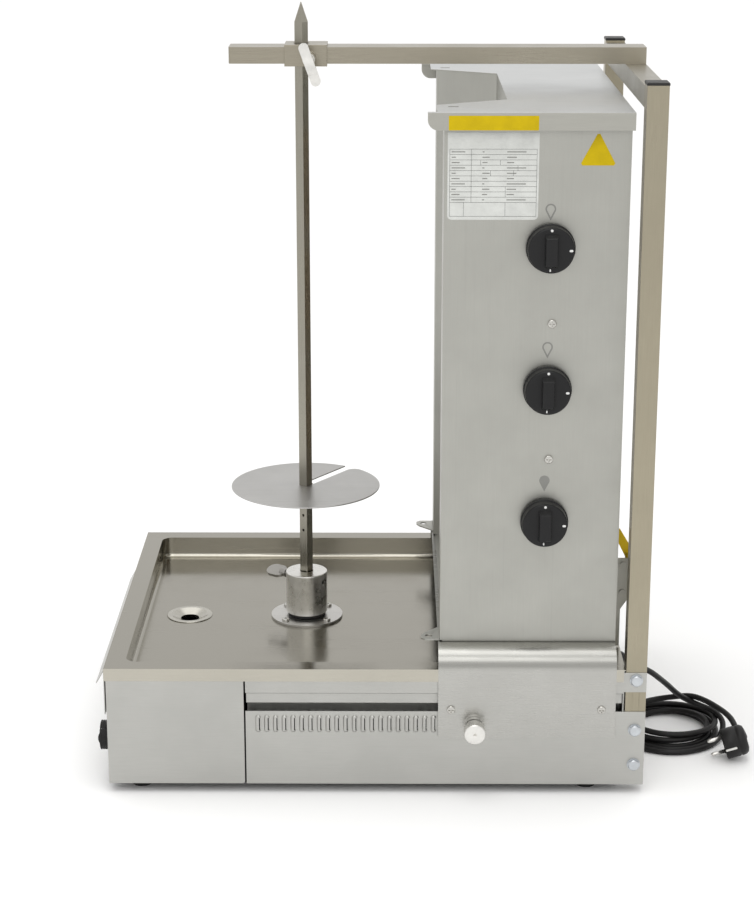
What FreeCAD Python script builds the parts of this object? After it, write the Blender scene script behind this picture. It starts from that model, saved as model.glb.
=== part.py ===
import FreeCAD, Part
import math
import os

from FreeCAD import Rotation, Vector

# Vertical rotisserie broiler: a gas grill whose spit stands in a motor-driven socket on a
# shallow drip tray, with a burner tower that slides along the base.
# Lengths are millimetres. Every shape is modelled from the front near bottom corner of the base:
# x runs from the front panel to the rear, y from the control side to the far side, z is up.
# save() then moves it so that the row's origin is under the middle of the whole machine.

# ---- driving dimensions ----
SHEET = 1.2            # stainless sheet
BODY_L = 628.0         # front panel to rear panel
BASE_L = 655.0         # front panel to the rear end of the side panels
BASE_W = 502.0
FOOT_H = 12.0
RIM_Z = 164.0          # top of the tray rim
RIM_OVER = 2.0         # rim overhang past the panels
RIM_DROP = 16.0
TRAY_DEPTH = 28.0
CORNER_X = 167.0       # rear end of the wrap-round front cover
PANEL_X = 169.0        # front end of the louvred side panels
SLOT_Z0 = 108.5        # carriage slot in each side
SLOT_Z1 = 132.0
SPIT_X = 235.0
MID_Y = BASE_W / 2
BAR = 12.0             # square spit bar
BAR_TURN = -35.0
SPIT_TOP = 935.0
SOCKET_R = 27.0
SOCKET_Z0 = 144.0
SOCKET_Z1 = 199.0
DISC_R = 96.0
DISC_Z = 315.8
TOWER_X0 = 405.0
TOWER_X1 = 618.0
TOWER_Y0 = 25.0
TOWER_Z0 = 191.5
TOWER_Z1 = 810.0
COVER_Z = 832.0
COVER_LIP = 20.0
WING_W = 57.0          # front flange of the tower, each side
BURNER_X = 481.0       # plane of the burners
BURNER_W = 250.0
BURNER_H = 150.0
KNOB_X = 528.0
KNOB_Z = (676.0, 508.0, 345.0)
KNOB_NAMES = ("top", "middle", "bottom")
SKIRT_Y = -4.0         # outer face of the carriage skirt
SKIRT_Z0 = 75.0
SKIRT_X0 = 403.0
NOSE_R = 28.0          # bullnose between skirt and carriage deck
DECK_Z = 190.0
RAIL_Y = (4.0, 12.0)    # carriage rail in the slot
RAIL_Z = (117.0, 131.0)
POST = 25.0
POST_WALL = 1.5
POST_X0 = 630.0
POST_TOP = 861.0       # top of the cross bar and underside of the arm
POST_END = 863.6       # top of the posts
ARM_X0 = 147.0
ARM_W = 40.0
ARM_H = 20.0
TRAVEL = 100.0         # carriage travel, towards the spit
MODULE = 2.0
GEAR_TEETH = 48
PINION_TEETH = 16
PIPE_Y = 92.0
PIPE_Z = 250.0
SWITCH_REACH = 16.0    # switch button ahead of the front panel
KNOB_REACH = 31.0      # lock knob beyond the near side panel
FAR_REACH = 5.5        # bolt heads beyond the far side panel
COCK_END = 662.0       # rear end of the gas cock
CORD_D = 7.5
FIT = 0.05             # radial running clearance
GAP = 0.3              # clearance between bodies

ORIGIN = Vector((COCK_END - SWITCH_REACH) / 2, (BASE_W + FAR_REACH - KNOB_REACH) / 2, 0)
UP = Vector(0, 0, 1)
ALONG_X = Vector(1, 0, 0)
ALONG_Y = Vector(0, 1, 0)


# ---- helpers ----
def box(x0, x1, y0, y1, z0, z1):
    return Part.makeBox(x1 - x0, y1 - y0, z1 - z0, Vector(x0, y0, z0))


def rod(radius, length, x, y, z, axis=UP):
    """Round bar that starts at x, y, z and runs along axis."""
    return Part.makeCylinder(radius, length, Vector(x, y, z), axis)


def ring(outer, inner, length, x, y, z, axis=UP):
    return rod(outer, length, x, y, z, axis).cut(rod(inner, length, x, y, z, axis))


def square_tube(x0, x1, y0, y1, z0, z1, wall, axis):
    """Hollow bar, open at both ends of the named axis."""
    margins = [wall, wall, wall]
    margins["xyz".index(axis)] = -1.0
    mx, my, mz = margins
    return box(x0, x1, y0, y1, z0, z1).cut(box(x0 + mx, x1 - mx, y0 + my, y1 - my, z0 + mz, z1 - mz))


def prism(points, direction):
    """Straight-sided solid from an outline of points, pushed along direction."""
    closed = [Vector(*p) for p in points]
    closed.append(closed[0])
    return Part.Face(Part.makePolygon(closed)).extrude(direction)


def mirrored(shape):
    """The same piece on the far side."""
    return shape.mirror(Vector(0, MID_Y, 0), ALONG_Y)


def pair(shape):
    return Part.makeCompound([shape, mirrored(shape)])


def turned(shape, centre, axis, degrees):
    copy = shape.copy()
    copy.rotate(Vector(*centre), axis, degrees)
    return copy


def rounded_edges(shape, radius, chosen):
    """Fillet the edges for which chosen(edge) is true."""
    return shape.makeFillet(radius, [edge for edge in shape.Edges if chosen(edge)])


def runs_along(edge, axis):
    if not isinstance(edge.Curve, Part.Line):
        return False
    return abs(abs(edge.tangentAt(edge.FirstParameter).dot(axis)) - 1) < 1e-6


def capsule(radius, length, x, y, z):
    """Upright round bar with domed ends, whose total height is length."""
    body = rod(radius, length - 2 * radius, x, y, z + radius)
    low = Part.makeSphere(radius, Vector(x, y, z + radius))
    high = Part.makeSphere(radius, Vector(x, y, z + length - radius))
    return body.fuse([low, high])


def hexagon(across_flats, length, x, y, z, axis):
    """Hexagonal prism for nuts and bolt heads."""
    radius = across_flats / math.sqrt(3)
    side = Rotation(UP, axis)
    corners = []
    for k in range(6):
        angle = math.radians(60 * k + 30)
        corner = Vector(radius * math.cos(angle), radius * math.sin(angle), 0)
        corners.append(Vector(x, y, z) + side.multVec(corner))
    return prism(corners, axis * length)


def pan_screw(x, y, z, outward, shank):
    """Cross-slotted pan head screw, head on the side that outward points to."""
    radius = 5.2
    height = 2.8
    head = rod(radius, height, x, y, z, outward)
    head = rounded_edges(head, 1.6, lambda edge: edge.CenterOfMass.sub(Vector(x, y, z)).dot(outward) > 2.0)
    slot_l, slot_w, slot_deep = 6.4, 1.3, 2.0
    for turn in (0, 90):
        slot = Part.makeBox(slot_l, slot_w, height, Vector(-slot_l / 2, -slot_w / 2, height - slot_deep))
        slot.rotate(Vector(0, 0, 0), UP, turn)
        slot.Placement = FreeCAD.Placement(Vector(x, y, z), Rotation(UP, outward)) * slot.Placement
        head = head.cut(slot)
    return head.fuse(rod(SCREW_R, shank, x, y, z, outward * -1)).removeSplitter()


def save(name, shape):
    moved = shape.copy()
    moved.translate(ORIGIN * -1)
    moved.exportStep("parts/%s.step" % name)


# ---- base shell ----
def base_pan():
    """Bottom tray with a low flange, cooling slots and the four pillars of the motor."""
    edge = SHEET + GAP
    rear = BODY_L - edge
    flange = 15.0
    floor = box(edge, rear, edge, BASE_W - edge, FOOT_H, FOOT_H + SHEET)
    outer = box(edge, rear, edge, BASE_W - edge, FOOT_H, FOOT_H + flange)
    inset = edge + SHEET
    inner = box(inset, BODY_L - inset, inset, BASE_W - inset, FOOT_H - 1, FOOT_H + flange + 1)
    seams = box(CORNER_X - 5, PANEL_X + 5, -1, BASE_W + 1, FOOT_H + SHEET, FOOT_H + flange + 1)
    pan = floor.fuse(outer.cut([inner, seams]))
    slot_y = [MID_Y - 90 + 30 * k for k in range(7)]
    pan = pan.cut([box(380, 560, y, y + 6, FOOT_H - 1, FOOT_H + 2) for y in slot_y])
    motor_x = SPIT_X + gear_distance()
    pillar_z = FOOT_H + SHEET
    height = MOTOR_Z - pillar_z
    pillars = [rod(PILLAR_R, height, motor_x + sx * PILLAR_GRID, MID_Y + sy * PILLAR_GRID, pillar_z)
               for sx in (-1, 1) for sy in (-1, 1)]
    return pan.fuse(pillars).removeSplitter()


def front_cover():
    """Front panel with a return along each side, in one bent sheet."""
    top = RIM_Z - 2 * SHEET
    outer = box(0, CORNER_X, 0, BASE_W, FOOT_H, top)
    inner = box(SHEET, CORNER_X + 1, SHEET, BASE_W - SHEET, FOOT_H - 1, top + 1)
    shell = outer.cut(inner)
    corner = 3.0
    sliver = box(CORNER_X - corner, CORNER_X + 1, -1, BASE_W + 1, FOOT_H - 1, FOOT_H + corner)
    round_off = rod(corner, BASE_W + 2, CORNER_X - corner, -1, FOOT_H + corner, ALONG_Y)
    shell = shell.cut(sliver.cut(round_off))
    drawer_hole = box(-1, 3, 18, 378, 98, 128)
    switch_hole = rod(16.2, 4, -1, SWITCH_Y, SWITCH_Z, ALONG_X)
    return shell.cut([drawer_hole, switch_hole])


def louvre_tools(index):
    """The slot and the pressed hood of one louvre, open on its rear side."""
    x = LOUVRE_X + LOUVRE_PITCH * index
    slot = capsule(2.2, 20, x, SHEET / 2, 82)
    hood = capsule(3.6, 23, x, SHEET, 80.5).cut(capsule(2.8, 21.4, x, SHEET, 81.3))
    hood = hood.cut(box(x - 5, x + 5, SHEET / 2, 9, 75, 110))
    hood = hood.cut(box(x + 1, x + 5, -9, -0.2, 84, 100))
    hood = hood.cut(box(x - 5, x + 5, -9, -LOUVRE_REACH, 75, 110))
    return slot, hood


def side_panel():
    """Louvred lower side panel, running on behind the body as the posts' cheek."""
    panel = box(PANEL_X, BASE_L, 0, SHEET, FOOT_H, SLOT_Z0)
    slots = []
    hoods = []
    for index in range(21):
        slot, hood = louvre_tools(index)
        slots.append(slot)
        hoods.append(hood)
    panel = panel.cut(slots).fuse(hoods)
    bolts = [rod(BOLT_HOLE_R, 4, POST_X0 + POST / 2, -1, z, ALONG_Y) for z in BOLT_Z[:2]]
    return panel.cut(bolts)


def upper_side_strip():
    """Strip above the carriage slot, folded in and down behind the rail."""
    strip = box(PANEL_X, POST_X0 - 2, 0, SHEET, SLOT_Z1, STRIP_TOP)
    tab = box(POST_X0 - 2, BASE_L, 0, SHEET, SLOT_Z1 + 2, STRIP_TOP - 0.6)
    web = box(RAIL_X[0], RAIL_X[1], 0, LINER_Y + SHEET, SLOT_Z1 + 1, SLOT_Z1 + 1 + SHEET)
    liner = box(RAIL_X[0], RAIL_X[1], LINER_Y, LINER_Y + SHEET, 98, SLOT_Z1 + 1 + SHEET)
    return strip.fuse([tab, web, liner]).cut(rod(BOLT_HOLE_R, 4, POST_X0 + POST / 2, -1, BOLT_Z[2], ALONG_Y))


def carriage_rail():
    """Flat rail with softened edges, held off the liner by a block at each end."""
    rail = box(RAIL_X[0], RAIL_X[1], RAIL_Y[0], RAIL_Y[1], RAIL_Z[0], RAIL_Z[1])
    front = [edge for edge in rail.Edges if runs_along(edge, ALONG_X) and edge.CenterOfMass.y < RAIL_Y[0] + 1]
    rail = rail.makeFillet(1.5, front)
    block_l = 8.0
    blocks = [box(x, x + block_l, RAIL_Y[1], LINER_Y, RAIL_Z[0] + 2, RAIL_Z[1] - 2)
              for x in (RAIL_X[0], RAIL_X[1] - block_l)]
    return rail.fuse(blocks)


def rear_panel():
    panel = box(BODY_L - SHEET, BODY_L, SHEET, BASE_W - SHEET, FOOT_H, RIM_Z - 2 * SHEET)
    slots = [box(BODY_L - 3, BODY_L + 1, 300 + 14 * k, 305 + 14 * k, 40, 90) for k in range(10)]
    return panel.cut(slots + [rod(GLAND_THREAD_R, 5, BODY_L - 3, GLAND_Y, GLAND_Z, ALONG_X)])


def tray_pan():
    """Top pan: a folded rim all round and a sunken basin that runs on under the tower."""
    x1 = BODY_L + 1
    outer = box(-RIM_OVER, x1, -RIM_OVER, BASE_W + RIM_OVER, RIM_Z - RIM_DROP, RIM_Z)
    under = box(SHEET - RIM_OVER, x1 - SHEET, SHEET - RIM_OVER, BASE_W + RIM_OVER - SHEET, 0, RIM_Z - SHEET)
    rim = outer.cut(under)
    rim = rim.cut(box(BODY_L - 1, x1 + 1, -5, BASE_W + 5, 0, RIM_Z - SHEET))
    floor_z = RIM_Z - TRAY_DEPTH
    corner = 14.0

    def basin(grow, low):
        block = box(22 - grow, 600 + grow, 21 - grow, BASE_W - 21 + grow, low, RIM_Z + 5)
        block = rounded_edges(block, corner + grow, lambda edge: runs_along(edge, UP))
        return rounded_edges(block, 5 + grow, lambda edge: edge.BoundBox.ZMax < low + 0.01)

    walls = basin(SHEET, floor_z - SHEET).common(box(-9, 700, -9, 600, 0, RIM_Z - SHEET / 2))
    tray = rim.fuse(walls).cut(basin(0, floor_z))
    drain = rod(DISH_R + SHEET + FIT, 40, DRAIN_X, MID_Y, floor_z - 20)
    shaft = rod(20.5, 40, SPIT_X, MID_Y, floor_z - 20)
    screw_holes = [rod(3, 10, *flange_hole(k), floor_z - 5) for k in range(4)]
    return tray.cut([drain, shaft] + screw_holes)


def drain_fitting():
    """Dished ring with a spout that empties into the grease drawer."""
    z = RIM_Z - TRAY_DEPTH
    low = z - DISH_DEEP
    flange = rod(30, SHEET, DRAIN_X, MID_Y, z)
    flange = rounded_edges(flange, 0.8, lambda edge: edge.BoundBox.ZMin > z + 1)
    outside = Part.makeCone(DRAIN_R + SHEET, DISH_R + SHEET, DISH_DEEP, Vector(DRAIN_X, MID_Y, low))
    inside = Part.makeCone(DRAIN_R, DISH_R, DISH_DEEP + SHEET, Vector(DRAIN_X, MID_Y, low))
    spout = rod(DRAIN_R + SHEET, low - SPOUT_Z, DRAIN_X, MID_Y, SPOUT_Z)
    body = flange.fuse([outside, spout])
    return body.cut([inside, rod(DRAIN_R, 20, DRAIN_X, MID_Y, SPOUT_Z - 5)])


def grease_drawer():
    """Shallow drawer with a folded finger lip along its front."""
    y0, y1 = 22.0, 374.0
    front_x = -3.6
    body = box(front_x + SHEET, 148, y0, y1, 100, 126)
    body = body.cut(box(front_x + 2 * SHEET, 148 - SHEET, y0 + SHEET, y1 - SHEET, 100 + SHEET, 130))
    fold = [(front_x, 100), (front_x, 155.5), (front_x - 8.2, 141), (front_x - 9.24, 141.6),
            (front_x, 157.9), (front_x + SHEET, 157.9), (front_x + SHEET, 100)]
    lip = prism([(x, 8, z) for x, z in fold], Vector(0, 364, 0))
    return body.fuse(lip).removeSplitter()


def foot(x, y):
    body = Part.makeCone(12.5, 15, 9, Vector(x, y, 0))
    return body.fuse(rod(11, FOOT_H - 9, x, y, 9))


# ---- drive ----
def gear_distance():
    return MODULE * (GEAR_TEETH + PINION_TEETH) / 2


def involute(angle):
    return math.tan(angle) - angle


def spur_gear(teeth, bore, height, x, y, z, first_tooth):
    """Spur gear with 20 degree involute flanks; first_tooth is the angle of one tooth's middle."""
    pressure = math.radians(20)
    pitch_r = MODULE * teeth / 2
    base_r = pitch_r * math.cos(pressure)
    root_r = pitch_r - 1.25 * MODULE
    tip_r = pitch_r + 0.95 * MODULE
    backlash = 0.2 / pitch_r
    half = math.pi / (2 * teeth) - backlash / 2
    low_r = max(base_r, root_r) + 0.05
    flank = []
    for step in range(5):
        radius = low_r + (tip_r - low_r) * step / 4
        lean = half + involute(pressure) - involute(math.acos(base_r / radius))
        flank.append((radius, lean))
    outline = []
    for tooth in range(teeth):
        middle = math.radians(first_tooth) + 2 * math.pi * tooth / teeth
        left = [(root_r, middle - flank[0][1])] + [(radius, middle - lean) for radius, lean in flank]
        right = [(radius, middle + lean) for radius, lean in reversed(flank)]
        right.append((root_r, middle + flank[0][1]))
        for radius, angle in left + right:
            outline.append((x + radius * math.cos(angle), y + radius * math.sin(angle), z))
    return prism(outline, Vector(0, 0, height)).cut(rod(bore, height, x, y, z))


def bearing_housing():
    """Flange on the tray floor with a boss below it that holds the two bearings."""
    z = RIM_Z - TRAY_DEPTH
    body = rod(47, 3, SPIT_X, MID_Y, z).fuse(rod(20, z + 3 - 98, SPIT_X, MID_Y, 98))
    body = body.cut(rod(15, 37, SPIT_X, MID_Y, 98)).cut(rod(10, 50, SPIT_X, MID_Y, 95))
    holes = [rod(3, 10, *flange_hole(k), z - 2) for k in range(4)]
    return body.cut(holes)


def flange_hole(index):
    angle = math.radians(45 + 90 * index)
    return SPIT_X + 38 * math.cos(angle), MID_Y + 38 * math.sin(angle)


def flange_screws():
    z = RIM_Z - TRAY_DEPTH + 3
    screws = []
    for index in range(4):
        x, y = flange_hole(index)
        head = rounded_edges(rod(5, 3, x, y, z), 1.6, lambda edge: edge.BoundBox.ZMin > z + 2.9)
        head = head.cut(hexagon(3.2, 2, x, y, z + 1.4, UP))
        screws.append(head.fuse(rod(2.9, 12, x, y, z - 12)))
    return Part.makeCompound(screws)


def shaft_bearings():
    return Part.makeCompound([ring(15, 8.5 + FIT, 9, SPIT_X, MID_Y, z) for z in (98.5, 125.5)])


def drive_shaft():
    return rod(8.5, 70, SPIT_X, MID_Y, 80)


def drive_gear():
    gear = spur_gear(GEAR_TEETH, 8.5, 10, SPIT_X, MID_Y, 84, 0)
    hub = ring(16, 8.5, 3, SPIT_X, MID_Y, 81)
    windows = [rod(9, 12, SPIT_X + 29 * math.cos(math.radians(a)), MID_Y + 29 * math.sin(math.radians(a)), 83)
               for a in range(0, 360, 60)]
    return gear.fuse(hub).cut(windows)


def motor_pinion():
    x = SPIT_X + gear_distance()
    first = 180 + 180 / PINION_TEETH
    return spur_gear(PINION_TEETH, 4, 14, x, MID_Y, 82, first).fuse(rod(4, 36, x, MID_Y, 62))


def drive_motor():
    x = SPIT_X + gear_distance()
    flange = box(x - 38, x + 38, MID_Y - 38, MID_Y + 38, MOTOR_Z, MOTOR_Z + 3)
    gearbox = rounded_edges(box(x - 32, x + 32, MID_Y - 32, MID_Y + 32, 36, MOTOR_Z), 6,
                            lambda edge: runs_along(edge, UP))
    can = rod(27, 21, x, MID_Y, 15)
    boss = rod(12, 6, x, MID_Y, MOTOR_Z + 3)
    body = flange.fuse([gearbox, can, boss])
    bore = rod(4 + FIT, 30, x, MID_Y, 61.5)
    pillars = [rod(PILLAR_R + FIT, MOTOR_Z - 20, x + sx * PILLAR_GRID, MID_Y + sy * PILLAR_GRID, 20)
               for sx in (-1, 1) for sy in (-1, 1)]
    return body.cut([bore] + pillars)


def spit_socket():
    body = rod(SOCKET_R, SOCKET_Z1 - SOCKET_Z0, SPIT_X, MID_Y, SOCKET_Z0)
    body = rounded_edges(body, 1.5, lambda edge: edge.BoundBox.ZMin > SOCKET_Z1 - 1)
    mouth = rod(8.8, 40, SPIT_X, MID_Y, 160)
    side = BAR + 0.2
    drive = box(SPIT_X - side / 2, SPIT_X + side / 2, MID_Y - side / 2, MID_Y + side / 2, 151, 161)
    drive = turned(drive, (SPIT_X, MID_Y, 0), UP, BAR_TURN)
    shaft = rod(8.5, 6, SPIT_X, MID_Y, SOCKET_Z0)
    clamp = rod(4 + FIT, 30, SPIT_X, MID_Y, CLAMP_Z, CLAMP_AXIS)
    spare = rod(2.6, 30, SPIT_X, MID_Y, CLAMP_Z, CLAMP_AXIS * -1)
    return body.cut([mouth, drive, shaft, clamp, spare])


def seal_ring():
    return ring(24.5, 10, SOCKET_Z0 - 139.5, SPIT_X, MID_Y, 139.5)


def wing_plate(length, width, thickness):
    """Flat finger wing with round ends, centred on the origin, long way along x."""
    half = length / 2 - width / 2
    plate = box(-half, half, -width / 2, width / 2, -thickness / 2, thickness / 2)
    ends = [rod(width / 2, thickness, s * half, 0, -thickness / 2) for s in (-1, 1)]
    return plate.fuse(ends).removeSplitter()


def socket_screw():
    """Wing screw that holds the spit in its socket."""
    start = Vector(SPIT_X, MID_Y, CLAMP_Z) + CLAMP_AXIS * 9.2
    shank = Part.makeCylinder(4, 31, start, CLAMP_AXIS)
    hub = Part.makeCylinder(5.5, 9, start + CLAMP_AXIS * 24, CLAMP_AXIS)
    wing = wing_plate(29, 21, 4)
    wing.rotate(Vector(0, 0, 0), ALONG_X, -20)
    outward = FreeCAD.Placement(start + CLAMP_AXIS * 40, Rotation(ALONG_X, CLAMP_AXIS))
    wing.Placement = outward * wing.Placement
    return shank.fuse([hub, wing]).removeSplitter()


def spit_bar():
    half = BAR / 2
    point_z = 909.5
    bar = box(SPIT_X - half, SPIT_X + half, MID_Y - half, MID_Y + half, 152, point_z)
    base = [Vector(SPIT_X + sx * half, MID_Y + sy * half, point_z)
            for sx, sy in ((-1, -1), (1, -1), (1, 1), (-1, 1))]
    tip = Vector(SPIT_X, MID_Y, SPIT_TOP)
    sides = [Part.Face(Part.makePolygon([base[k], base[(k + 1) % 4], tip, base[k]])) for k in range(4)]
    point = Part.Solid(Part.Shell(sides + [Part.Face(Part.makePolygon(base + [base[0]]))]))
    bar = bar.fuse(point)
    holes = [rod(1.6, 30, SPIT_X, MID_Y - 15, z, ALONG_Y) for z in (256, 276.5)]
    holes.append(rod(PIN_R, 30, SPIT_X, MID_Y - 15, PIN_Z, ALONG_Y))
    return turned(bar.cut(holes), (SPIT_X, MID_Y, 0), UP, BAR_TURN)


def disc_pin():
    return turned(rod(PIN_R, 28, SPIT_X, MID_Y - 14, PIN_Z, ALONG_Y), (SPIT_X, MID_Y, 0), UP, BAR_TURN)


def meat_disc():
    """Plate that carries the meat, slotted from its rim so that it slips onto the bar."""
    disc = rod(DISC_R, 1.5, SPIT_X, MID_Y, DISC_Z)
    half = BAR / 2 + GAP
    slot = box(SPIT_X - half, SPIT_X + half, MID_Y - half, MID_Y + DISC_R + 5, DISC_Z - 1, DISC_Z + 3)
    corner = 12.0
    edge_y = MID_Y + math.sqrt(DISC_R ** 2 - (half + corner) ** 2)
    relief = box(SPIT_X + half - 1, SPIT_X + half + corner, edge_y - corner, edge_y + 30,
                 DISC_Z - 1, DISC_Z + 3)
    relief = relief.cut(rod(corner, 6, SPIT_X + half + corner, edge_y - corner, DISC_Z - 2))
    return turned(disc.cut([slot, relief]), (SPIT_X, MID_Y, 0), UP, BAR_TURN)


# ---- rear frame and top arm ----
def post():
    tube = square_tube(POST_X0, POST_X0 + POST, SHEET, SHEET + POST, 13.5, POST_END, POST_WALL, "z")
    return tube.cut([rod(BOLT_HOLE_R, 40, POST_X0 + POST / 2, -5, z, ALONG_Y) for z in BOLT_Z])


def cross_bar():
    y0 = SHEET + POST
    return square_tube(POST_X0, POST_X0 + POST, y0, BASE_W - y0, POST_TOP - POST, POST_TOP, POST_WALL, "y")


def post_cap():
    x1 = POST_X0 + POST
    y1 = SHEET + POST
    top = POST_END + 3.4
    lid = box(POST_X0 - 0.5, x1 + 0.5, SHEET - 0.5, y1 + 0.5, POST_END, top)
    lid = rounded_edges(lid, 1.5, lambda edge: edge.BoundBox.ZMin > top - 0.5)
    inset = POST_WALL + 0.2
    plug = box(POST_X0 + inset, x1 - inset, SHEET + inset, y1 - inset, POST_END - 14, POST_END)
    return lid.fuse(plug)


def post_bolts():
    """Hex bolts through the side panels into the posts."""
    bolts = []
    for z in BOLT_Z:
        head = hexagon(13, 5.5, POST_X0 + POST / 2, -5.5, z, ALONG_Y)
        chamfer = Part.makeCone(5.6, 11.1, 5.5, Vector(POST_X0 + POST / 2, -5.5, z), ALONG_Y)
        washer = rod(8, 1.2, POST_X0 + POST / 2, -SHEET, z, ALONG_Y)
        bolt = head.common(chamfer).fuse([washer, rod(4, 24, POST_X0 + POST / 2, 0, z, ALONG_Y)])
        bolts += [bolt, mirrored(bolt)]
    return Part.makeCompound(bolts)


def top_arm():
    y0 = MID_Y - ARM_W / 2
    outer = box(ARM_X0, BASE_L, y0, y0 + ARM_W, POST_TOP, POST_TOP + ARM_H)
    outer = rounded_edges(outer, 3, lambda edge: runs_along(edge, UP) and edge.BoundBox.XMax < ARM_X0 + 1)
    wall = POST_WALL
    inner = box(ARM_X0 + wall, BASE_L + 1, y0 + wall, y0 + ARM_W - wall,
                POST_TOP + wall, POST_TOP + ARM_H - wall)
    return outer.cut([inner, rod(9.6, 60, SPIT_X, MID_Y, POST_TOP - 20)])


def arm_sleeve():
    """Collar round the arm with the threaded boss for the clamp screw."""
    y0 = MID_Y - ARM_W / 2
    wall = 3.0
    inner = box(200, 280, y0, y0 + ARM_W, POST_TOP, POST_TOP + ARM_H)
    outer = box(215, 267, y0 - wall, y0 + ARM_W + wall, POST_TOP - wall, POST_TOP + ARM_H + wall)
    boss = rod(8.5, 10, ARM_SCREW_X, y0 - wall - 8, ARM_SCREW_Z, ALONG_Y)
    bore = rod(4 + FIT, 14, ARM_SCREW_X, y0 - wall - 9, ARM_SCREW_Z, ALONG_Y)
    return outer.fuse(boss).cut([inner, bore, rod(9.6, 60, SPIT_X, MID_Y, POST_TOP - 20)])


def arm_screw():
    """Wing screw that clamps the sleeve on the arm."""
    y0 = MID_Y - ARM_W / 2
    shank = rod(4, 30, ARM_SCREW_X, y0 - GAP - 30, ARM_SCREW_Z, ALONG_Y)
    collar = rod(7.5, 5, ARM_SCREW_X, y0 - 17, ARM_SCREW_Z, ALONG_Y)
    hub = rod(6.5, 14, ARM_SCREW_X, y0 - 30, ARM_SCREW_Z, ALONG_Y)
    wing = wing_plate(54, 12, 5)
    wing.translate(Vector(-5, 0, 0))
    wing.rotate(Vector(0, 0, 0), ALONG_X, 90)
    wing.rotate(Vector(0, 0, 0), ALONG_Y, -110)
    wing.translate(Vector(ARM_SCREW_X, y0 - 30, ARM_SCREW_Z))
    return shank.fuse([collar, hub, wing]).removeSplitter()


# ---- carriage ----
def carriage_saddle():
    """Deck under the tower with a bullnose and a skirt down each side."""
    def outline(inset):
        radius = NOSE_R - inset
        skirt = SKIRT_Y + inset
        centre_y = SKIRT_Y + NOSE_R
        centre_z = DECK_Z - NOSE_R
        low = SKIRT_Z0 - (1 if inset else 0)
        x = SKIRT_X0

        def at(y, z):
            return Vector(x, y, z)

        def far(y, z):
            return Vector(x, BASE_W - y, z)

        diagonal = radius * math.sqrt(0.5)
        near_arc = Part.Arc(at(skirt, centre_z), at(centre_y - diagonal, centre_z + diagonal),
                            at(centre_y, centre_z + radius)).toShape()
        far_arc = Part.Arc(far(centre_y, centre_z + radius), far(centre_y - diagonal, centre_z + diagonal),
                           far(skirt, centre_z)).toShape()
        edges = [Part.makeLine(at(skirt, low), at(skirt, centre_z)), near_arc,
                 Part.makeLine(at(centre_y, centre_z + radius), far(centre_y, centre_z + radius)), far_arc,
                 Part.makeLine(far(skirt, centre_z), far(skirt, low)),
                 Part.makeLine(far(skirt, low), at(skirt, low))]
        return Part.Face(Part.Wire(edges)).extrude(Vector(TOWER_X1 - SKIRT_X0, 0, 0))

    saddle = outline(0).cut(outline(SHEET))
    near_holes = [rod(2.5, 3, x, SKIRT_Y - 1, SADDLE_SCREW_Z, ALONG_Y) for x in SADDLE_SCREW_X]
    near_holes.append(rod(4.6, 3, LOCK_X, SKIRT_Y - 1, LOCK_Z, ALONG_Y))
    far_holes = [mirrored(hole) for hole in near_holes[:2]]
    deck_hole = box(500, 600, 150, 350, DECK_Z - 5, DECK_Z + 5)
    return saddle.cut(near_holes + far_holes + [deck_hole])


def slide_block(x):
    """Plain bearing round the rail, with a neck out through the slot to the skirt."""
    front = 2.2
    body = box(x - 15, x + 15, front, LINER_Y - 1, 111, SLOT_Z1 + 0.5)
    body = body.cut(box(x - 20, x + 20, RAIL_Y[0] - FIT, RAIL_Y[1] + FIT, RAIL_Z[0] - FIT, RAIL_Z[1] + FIT))
    neck = box(x - 12, x + 12, SKIRT_Y + SHEET, front, SLOT_Z0 + 1.3, 115.4)
    return body.fuse(neck).cut(rod(SCREW_R, 12, x, SKIRT_Y, SADDLE_SCREW_Z, ALONG_Y))


def slide_blocks():
    blocks = [slide_block(x) for x in SADDLE_SCREW_X]
    return Part.makeCompound(blocks + [mirrored(block) for block in blocks])


def carriage_screws():
    """The pan head screws of the skirts and of the tower's side panels."""
    back = Vector(0, -1, 0)
    screws = [pan_screw(x, SKIRT_Y, SADDLE_SCREW_Z, back, 9) for x in SADDLE_SCREW_X]
    screws += [pan_screw(PANEL_SCREW_X, TOWER_Y0, z, back, 8) for z in PANEL_SCREW_Z]
    return Part.makeCompound(screws + [mirrored(screw) for screw in screws])


def lock_knob():
    """Knurled screw that locks the carriage, drawn back clear of the louvres."""
    face = -KNOB_REACH
    head_r, head_l = 13.0, 17.0
    stud = rod(4, -LOUVRE_REACH - GAP - face, LOCK_X, face, LOCK_Z, ALONG_Y)
    head = rod(head_r, head_l, LOCK_X, face, LOCK_Z, ALONG_Y)
    head = head.makeChamfer(1.2, [edge for edge in head.Edges if edge.BoundBox.YLength < 0.1])
    grooves = []
    for k in range(30):
        angle = 2 * math.pi * k / 30
        x = LOCK_X + (head_r + 0.3) * math.cos(angle)
        z = LOCK_Z + (head_r + 0.3) * math.sin(angle)
        grooves.append(rod(0.9, head_l + 2, x, face - 1, z, ALONG_Y))
    dimple = Part.makeCone(2.2, 0.4, 2.5, Vector(LOCK_X, face, LOCK_Z), ALONG_Y)
    head = head.cut(grooves + [dimple])
    neck_l = 3.0
    neck = rod(8, neck_l, LOCK_X, face + head_l, LOCK_Z, ALONG_Y)
    collar_y = face + head_l + neck_l
    collar = rod(12.5, SKIRT_Y - 0.4 - collar_y, LOCK_X, collar_y, LOCK_Z, ALONG_Y)
    return head.fuse([neck, collar, stud.cut(dimple)])


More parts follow.
